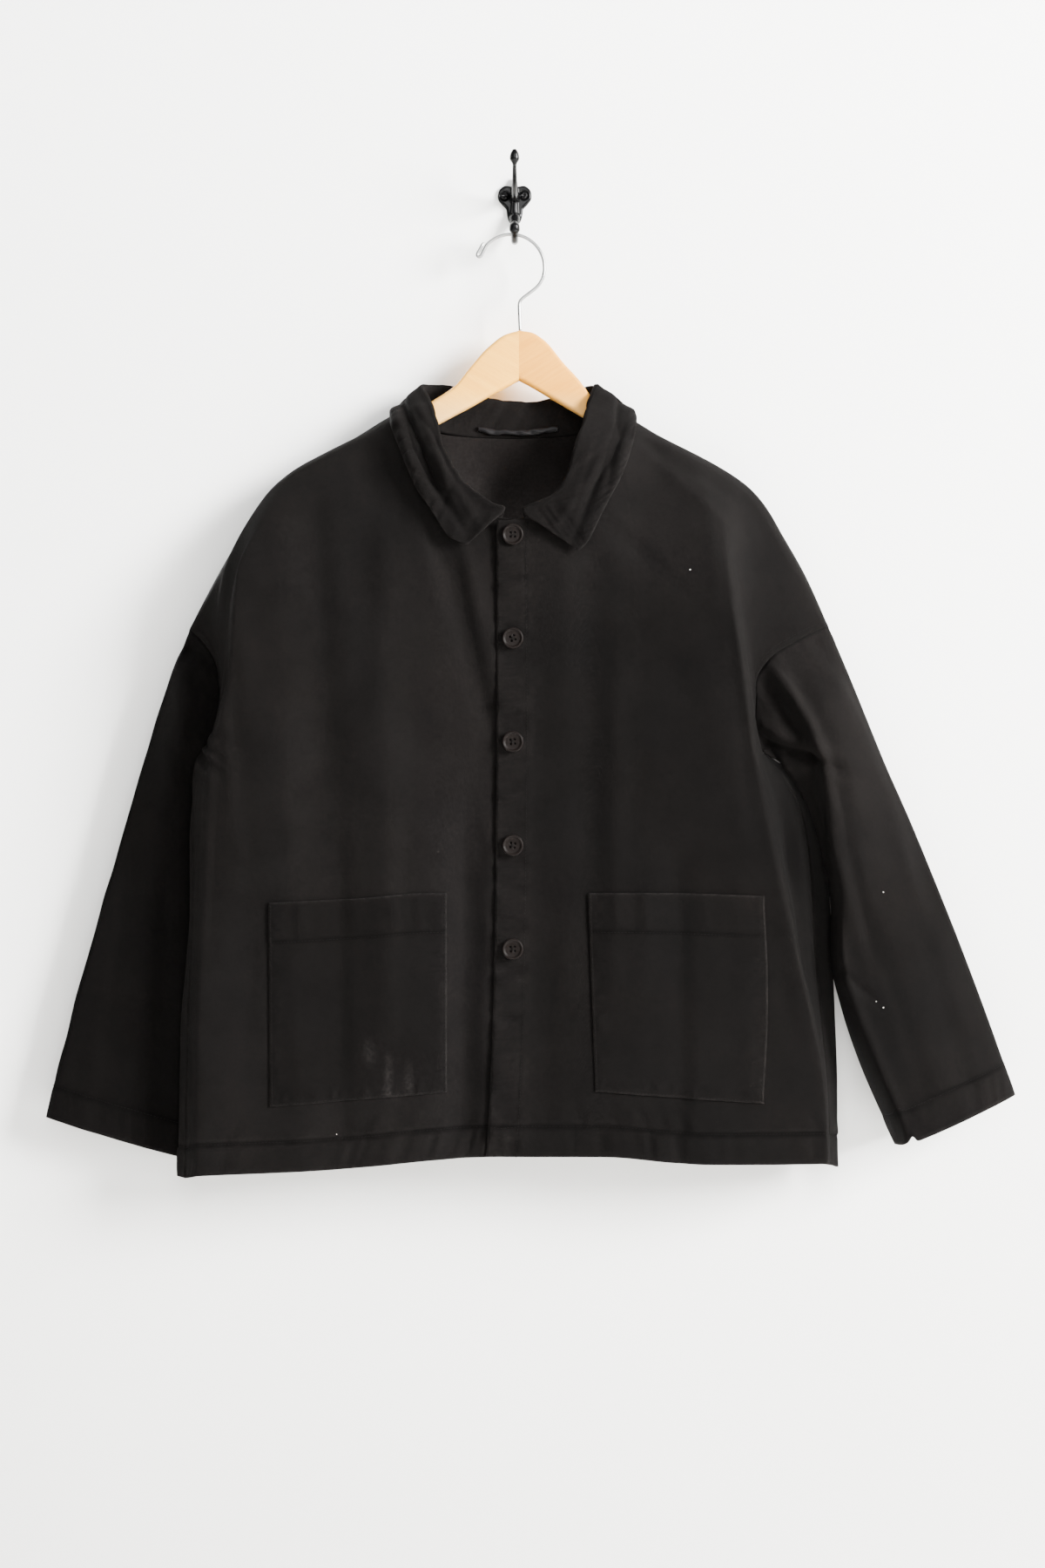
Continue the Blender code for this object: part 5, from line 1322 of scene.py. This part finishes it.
for side, stations, pale, dark, slope in (
    ("right", RIGHT_ARM, (0.75, 0.37, 0.042), (0.68, 0.315, 0.028), math.radians(-30)),
    ("left", LEFT_ARM, (0.61, 0.267, 0.023), (0.54, 0.220, 0.014), math.radians(31)),
):
    table = np.array(stations, float)
    run = np.abs(table[:, 0] - table[0, 0])
    # A second ring just inside the glued face keeps its edge crisp.
    at = np.concatenate([[0, 0.12], np.linspace(0.6, run[-1], 118)])
    tops, lows = smooth(run, table[:, 1], at), smooth(run, table[:, 2], at)
    sign = np.sign(table[-1, 0] - table[0, 0])
    rings = []
    for i, (far, top, low) in enumerate(zip(at, tops, lows)):
        ease = min(1.0, (at[-1] - far) / 7.0)
        shrink = 0.72 + 0.28 * math.sqrt(max(0.0, 1 - (1 - ease) ** 2))
        half_tall = (top - low) / 2 * shrink
        half_deep = WOOD_DEEP / 2 * shrink
        rounding = min(WOOD_ROUND, half_tall - 0.1, half_deep - 0.1)
        ring = []
        for quarter in range(4):
            for k in range(9):
                a = math.pi / 2 * (quarter + k / 8)
                cy = (half_deep - rounding) * (1 if quarter in (0, 3) else -1)
                cz = (half_tall - rounding) * (1 if quarter < 2 else -1)
                ring.append((table[0, 0] + sign * far, HANGER_Y + cy + rounding * math.cos(a),
                             (top + low) / 2 + cz + rounding * math.sin(a)))
        rings.append(ring)
    bm = bmesh.new()
    rings = [[bm.verts.new(Vector(p) * MM) for p in ring] for ring in rings]
    skin(bm, rings)
    arm = add_piece("hanger_%s_wood" % side, bm, wood_material("beech_" + side, pale, dark, slope))
    stand_for(arm, "hanger_arm_" + side)

# ---- Wire hook ----
# Bright drawn steel wire set into the wood, bent to a round hook, its tip doubled back.
WIRE = 3.0
centre = Vector((-3.0, HANGER_Y, -65.6))
bends = [
    (4.8, -119.6), (4.4, -112), (4.1, -104), (3.9, -98), (4.6, -94.8), (6.9, -92.0), (11, -88.8),
    (15, -85.8), (18.8, -82.6), (21.6, -79.3),
]
for k in range(15):
    a = math.radians(-14 + 151 * k / 14)
    bends.append((centre.x + 28.6 * math.cos(a), centre.z + 28.6 * math.sin(a)))
tip = Vector((bends[-1][0], bends[-1][1]))
limb = Vector((-0.47, -0.88))
over = Vector((-0.88, 0.47))
for step in (4.0, 8.0, 10.5):
    bends.append(tuple(tip + limb * step))
end = tip + limb * 10.5
for k in range(1, 6):
    a = math.pi * k / 6
    bends.append(tuple(end + over * (1.75 - 1.75 * math.cos(a)) + limb * 1.75 * math.sin(a)))
back_start = end + over * 3.5
for step in (0.0, -4.0, -8.0, -11.0):
    bends.append(tuple(back_start + limb * step))
path = np.array([(x, HANGER_Y, z) for x, z in bends], float)
shares = np.linspace(0, 1, 240)
path = along(path, shares)
radii = [WIRE / 2 * (1 if i < 236 else 0.8 if i < 238 else 0.5) for i in range(240)]
bm = bmesh.new()
tube(bm, [tuple(p) for p in path], radii, Vector((0, 1, 0)), 20)
steel, tree, shader, place = new_finish("drawn_steel")
haze = noise(tree, place, 260.0, 4.0)
feed(tree, shader, {
    "Base Color": blend(tree, haze, (0.23, 0.23, 0.228), (0.36, 0.36, 0.352)),
    "Roughness": spread(tree, haze, 0.3, 0.7, 0.24, 0.40), "Metallic": 1.0,
})
stand_for(add_piece("hanger_wire", bm, steel), "hanger_hook")

# ---- Wall hook ----
# A small two-prong hook cast in iron with a heart-shaped plate and acorn finial, painted
# gloss black, screwed to the wall with two cross-head screws.
PLATE_DEEP = 3.2
# Half of the plate's outline, as (degrees, radius) from its top round to its foot.
PLATE_HALF = [
    (90, 11.2), (112, 13.0), (135, 16.8), (158, 18.2), (180, 17.6), (205, 14.6), (228, 13.6),
    (243, 18.0), (256, 23.6), (270, 26.6),
]
# Prongs, as (y, z, radius) out from the plate.
UPPER_PRONG = [
    (-0.8, 0, 5.0), (-4, 0, 4.6), (-10, -0.6, 3.8), (-20, 0, 3.0), (-34, 4, 2.4), (-46, 12, 2.0),
    (-52, 18, 1.8), (-53.5, 19, 2.3), (-54.5, 22.5, 4.3), (-55.2, 26.5, 3.7), (-55.8, 30.5, 1.5),
]
LOWER_PRONG = [
    (-0.8, -17, 4.6), (-3.4, -17, 4.6), (-7, -22, 4.0), (-13, -33, 3.4), (-22, -41.4, 3.2),
    (-30, -42.05, 3.0), (-36, -40.4, 2.7), (-39.4, -38.2, 2.9), (-41, -35.4, 4.7),
    (-42, -31.8, 4.4), (-42.6, -28, 1.2),
]
SCREWS = [("right", -9.0, 2.0), ("left", 8.0, 2.6)]
SCREW_PROFILE = [
    (0, 0), (3.1, 0), (3.2, 0.35), (3.05, 0.75), (2.6, 1.2), (1.9, 1.55), (1.0, 1.75), (0, 1.8),
]
RIDGE = [
    (-2.2, 18, 1.6), (-3.6, 12, 2.6), (-4.6, 2, 3.0), (-4.2, -8, 2.8), (-3.6, -17, 3.2),
    (-2.8, -23, 2.2),
]
bm = bmesh.new()
turns = np.linspace(0, 360, 72, endpoint=False)
mirrored = [((180 - angle) % 360, far) for angle, far in PLATE_HALF[1:-1]]
lobes = sorted(PLATE_HALF + mirrored)
lobes = np.array(lobes + [(360, lobes[0][1])], float)
reach = smooth(lobes[:, 0], lobes[:, 1], turns)
levels = [(1.0, 0.0), (1.0, -1.4), (0.97, -2.1), (0.9, -2.8), (0.78, -3.15), (0.5, -3.2)]
rings = []
for scale, y in levels:
    ring = []
    for angle, far in zip(np.radians(turns), reach * scale):
        spot = Vector((far * math.cos(angle) * 0.84, y, far * math.sin(angle) * 0.9))
        ring.append(bm.verts.new(spot * MM))
    rings.append(ring)
skin(bm, rings)
for prong in (UPPER_PRONG, LOWER_PRONG, RIDGE):
    table = np.array(prong, float)
    run = np.concatenate([[0], np.cumsum(np.linalg.norm(np.diff(table[:, :2], axis=0), axis=1))])
    at = np.linspace(0, run[-1], 70)
    line = [(0, y, z) for y, z in zip(smooth(run, table[:, 0], at), smooth(run, table[:, 1], at))]
    tube(bm, line, smooth(run, table[:, 2], at), Vector((1, 0, 0)), 20)
iron, tree, shader, place = new_finish("black_iron")
cast = noise(tree, place, 190.0, 3.0)
feed(tree, shader, {
    "Base Color": blend(tree, cast, (0.001, 0.001, 0.0011), (0.0026, 0.0026, 0.0028)),
    "Roughness": spread(tree, cast, 0.3, 0.7, 0.12, 0.3), "Specular IOR Level": 0.12,
    "Normal": raised(tree, cast, 0.35, 0.0006),
})
hook = add_piece("wall_hook_iron", bm, iron)
melt = hook.modifiers.new("cast", "REMESH")
melt.mode = "VOXEL"
melt.voxel_size = 0.55 * MM
ease = hook.modifiers.new("ease", "SMOOTH")
ease.factor = 0.5
ease.iterations = 4
made = plain_mesh(hook)
hook.modifiers.clear()
hook.data = made
for vertex in made.vertices:
    for _side, x, z in SCREWS:
        near = math.hypot(vertex.co.x / MM - x, vertex.co.z / MM - z) / 4.9
        if near < 1 and -4.2 * MM < vertex.co.y < -1.6 * MM:
            vertex.co.y += 1.5 * (1 - near**4) * MM
    vertex.co.y = min(vertex.co.y, 0.0)
made.shade_smooth()
stand_for(hook, "wall_hook")
for side, x, z in SCREWS:
    bm = bmesh.new()
    lathe(bm, SCREW_PROFILE, (x, -PLATE_DEEP + 0.9, z), 36)
    screw = add_piece("screw_%s_head" % side, bm, iron)
    for along_x, along_z in ((2.2, 0.5), (0.5, 2.2)):
        bm = bmesh.new()
        bmesh.ops.create_cube(bm, size=1)
        for vertex in bm.verts:
            vertex.co = Vector((x + vertex.co.x * 2 * along_x, -PLATE_DEEP - 0.85 + vertex.co.y * 1.5,
                                z + vertex.co.z * 2 * along_z)) * MM
        cut_away(screw, bm)
    stand_for(screw, "screw_" + side)

# ---- Lint ----
# A few white flecks of lint caught on the nap, as on a worn dark cotton, each given as
# (piece, x, z, radius).
LINT = [
    ("front_left", 148, -329.5, 0.55), ("front_right", -150, -805.3, 0.38),
    ("sleeve_left", 313.2, -601.8, 0.55), ("sleeve_left", 312.4, -699.4, 0.55),
    ("sleeve_left", 306.5, -694.3, 0.38),
]
lint_pale, tree, shader, place = new_finish("lint_fibre")
fluff = noise(tree, place, 2500.0, 2.0)
feed(tree, shader, {
    "Base Color": blend(tree, fluff, (0.5, 0.49, 0.46), (0.8, 0.79, 0.76)), "Roughness": 0.9,
})
trees["sleeve_left"] = surface_tree(sleeve_outer["left"], -1)
bm = bmesh.new()
for number, (where, x, z, size) in enumerate(LINT):
    middle = Vector((x, front_y(trees[where], x, z) - 0.1, z))
    for vertex in bmesh.ops.create_icosphere(bm, subdivisions=2, radius=1)["verts"]:
        lump = 1 + 0.3 * math.sin(9 * vertex.co.x + 5 * vertex.co.z + number)
        offset = Vector((vertex.co.x * size, vertex.co.y * 0.35, vertex.co.z * size * 0.8))
        vertex.co = (middle + offset * lump) * MM
piece = add_piece("lint_flecks", bm, lint_pale)
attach(piece, "root")

# ---- Room ----
# A white wall and a pale floor. A large window at the upper right gives soft daylight, and the
# room throws a little of it back. A lamp behind the wall lights views from there. In metres.
WALL = (0.95, 0.95, 0.935)
# Painted shade: the wall's paint darkens from the colour above to this one lower down, standing in for
# the window light falling off.
WALL_SHADED_LOW = (0.68, 0.675, 0.655)
FLOOR = (0.88, 0.87, 0.85)
FLOOR_LOW = (0.84, 0.83, 0.81)
FLOOR_Z = -1.6
WALL_Y = 0.0006


def stage_material(name, colour, low):
    """Matt paint with faint roller marks, clear from behind and to the lamps' shadow rays; painted
    shade darkens it towards the low colour further down.
    """
    material, tree, shader, place = new_finish(name)
    height = put(tree, "ShaderNodeSeparateXYZ", {0: place}).outputs[2]
    height = maths(tree, "MULTIPLY_ADD", noise(tree, place, 2.0, 3.0), 0.25, height)
    feed(tree, shader, {
        "Base Color": blend(tree, spread(tree, height, -1.05, 0.25, 0.0, 1.0), low, colour),
        "Normal": raised(tree, noise(tree, place, 60.0, 4.0), 0.08, 0.002),
        "Roughness": 0.85, "Specular IOR Level": 0.2,
    })
    clear = put(tree, "ShaderNodeBsdfTransparent").outputs[0]
    behind = put(tree, "ShaderNodeNewGeometry").outputs["Backfacing"]
    shadow = put(tree, "ShaderNodeLightPath").outputs["Is Shadow Ray"]
    behind = maths(tree, "MAXIMUM", behind, shadow)
    mixed = put(tree, "ShaderNodeMixShader", {0: behind, 1: shader.outputs[0], 2: clear}).outputs[0]
    tree.links.new(mixed, tree.nodes["Material Output"].inputs["Surface"])
    return material


def stage_plane(name, corners, material):
    mesh = bpy.data.meshes.new(name)
    mesh.from_pydata(corners, [], [(0, 1, 2, 3)])
    mesh.materials.append(material)
    add_object(name, mesh)


stage_plane(
    "wall", [(-5, WALL_Y, FLOOR_Z), (5, WALL_Y, FLOOR_Z), (5, WALL_Y, 3), (-5, WALL_Y, 3)],
    stage_material("wall_paint", WALL, WALL_SHADED_LOW),
)
stage_plane(
    "floor", [(-5, -6, FLOOR_Z), (5, -6, FLOOR_Z), (5, WALL_Y, FLOOR_Z), (-5, WALL_Y, FLOOR_Z)],
    stage_material("floor_paint", FLOOR, FLOOR_LOW),
)

scene = bpy.context.scene
scene.world = bpy.data.worlds.new("room")
scene.world.use_nodes = True
sky = scene.world.node_tree.nodes["Background"]
sky.inputs["Color"].default_value = (1.0, 1.0, 1.0, 1)
sky.inputs["Strength"].default_value = 0.42


def soft_light(name, place, aim, wide, watts, colour):
    lamp = bpy.data.lights.new(name, "AREA")
    lamp.shape = "RECTANGLE"
    lamp.size, lamp.size_y = wide
    lamp.energy = watts
    lamp.color = colour
    made = add_object(name, lamp)
    made.location = place
    made.rotation_euler = (Vector(aim) - Vector(place)).to_track_quat("-Z", "Y").to_euler()


soft_light("window", (2.85, -1.95, 0.6), (0.0, 0.0, -0.35), (1.3, 1.5), 1080, (1.0, 0.998, 0.99))
soft_light("behind", (-1.2, 3.2, 0.7), (0.0, 0.0, -0.4), (2.4, 2.4), 520, (1.0, 1.0, 1.0))
soft_light("room_fill", (0.2, -3.6, 0.9), (0.0, 0.0, -0.4), (2.2, 2.2), 140, (0.99, 0.995, 1.0))

lens = bpy.data.cameras.new("photo_view")
lens.sensor_fit = "VERTICAL"
lens.sensor_height = 36.0
lens.lens = 62.16
lens.clip_start = 0.05
scene.camera = add_object("photo_view", lens)
scene.camera.location = (0.0068, -2.36, -0.510)
scene.camera.rotation_euler = (math.radians(90), 0, 0)
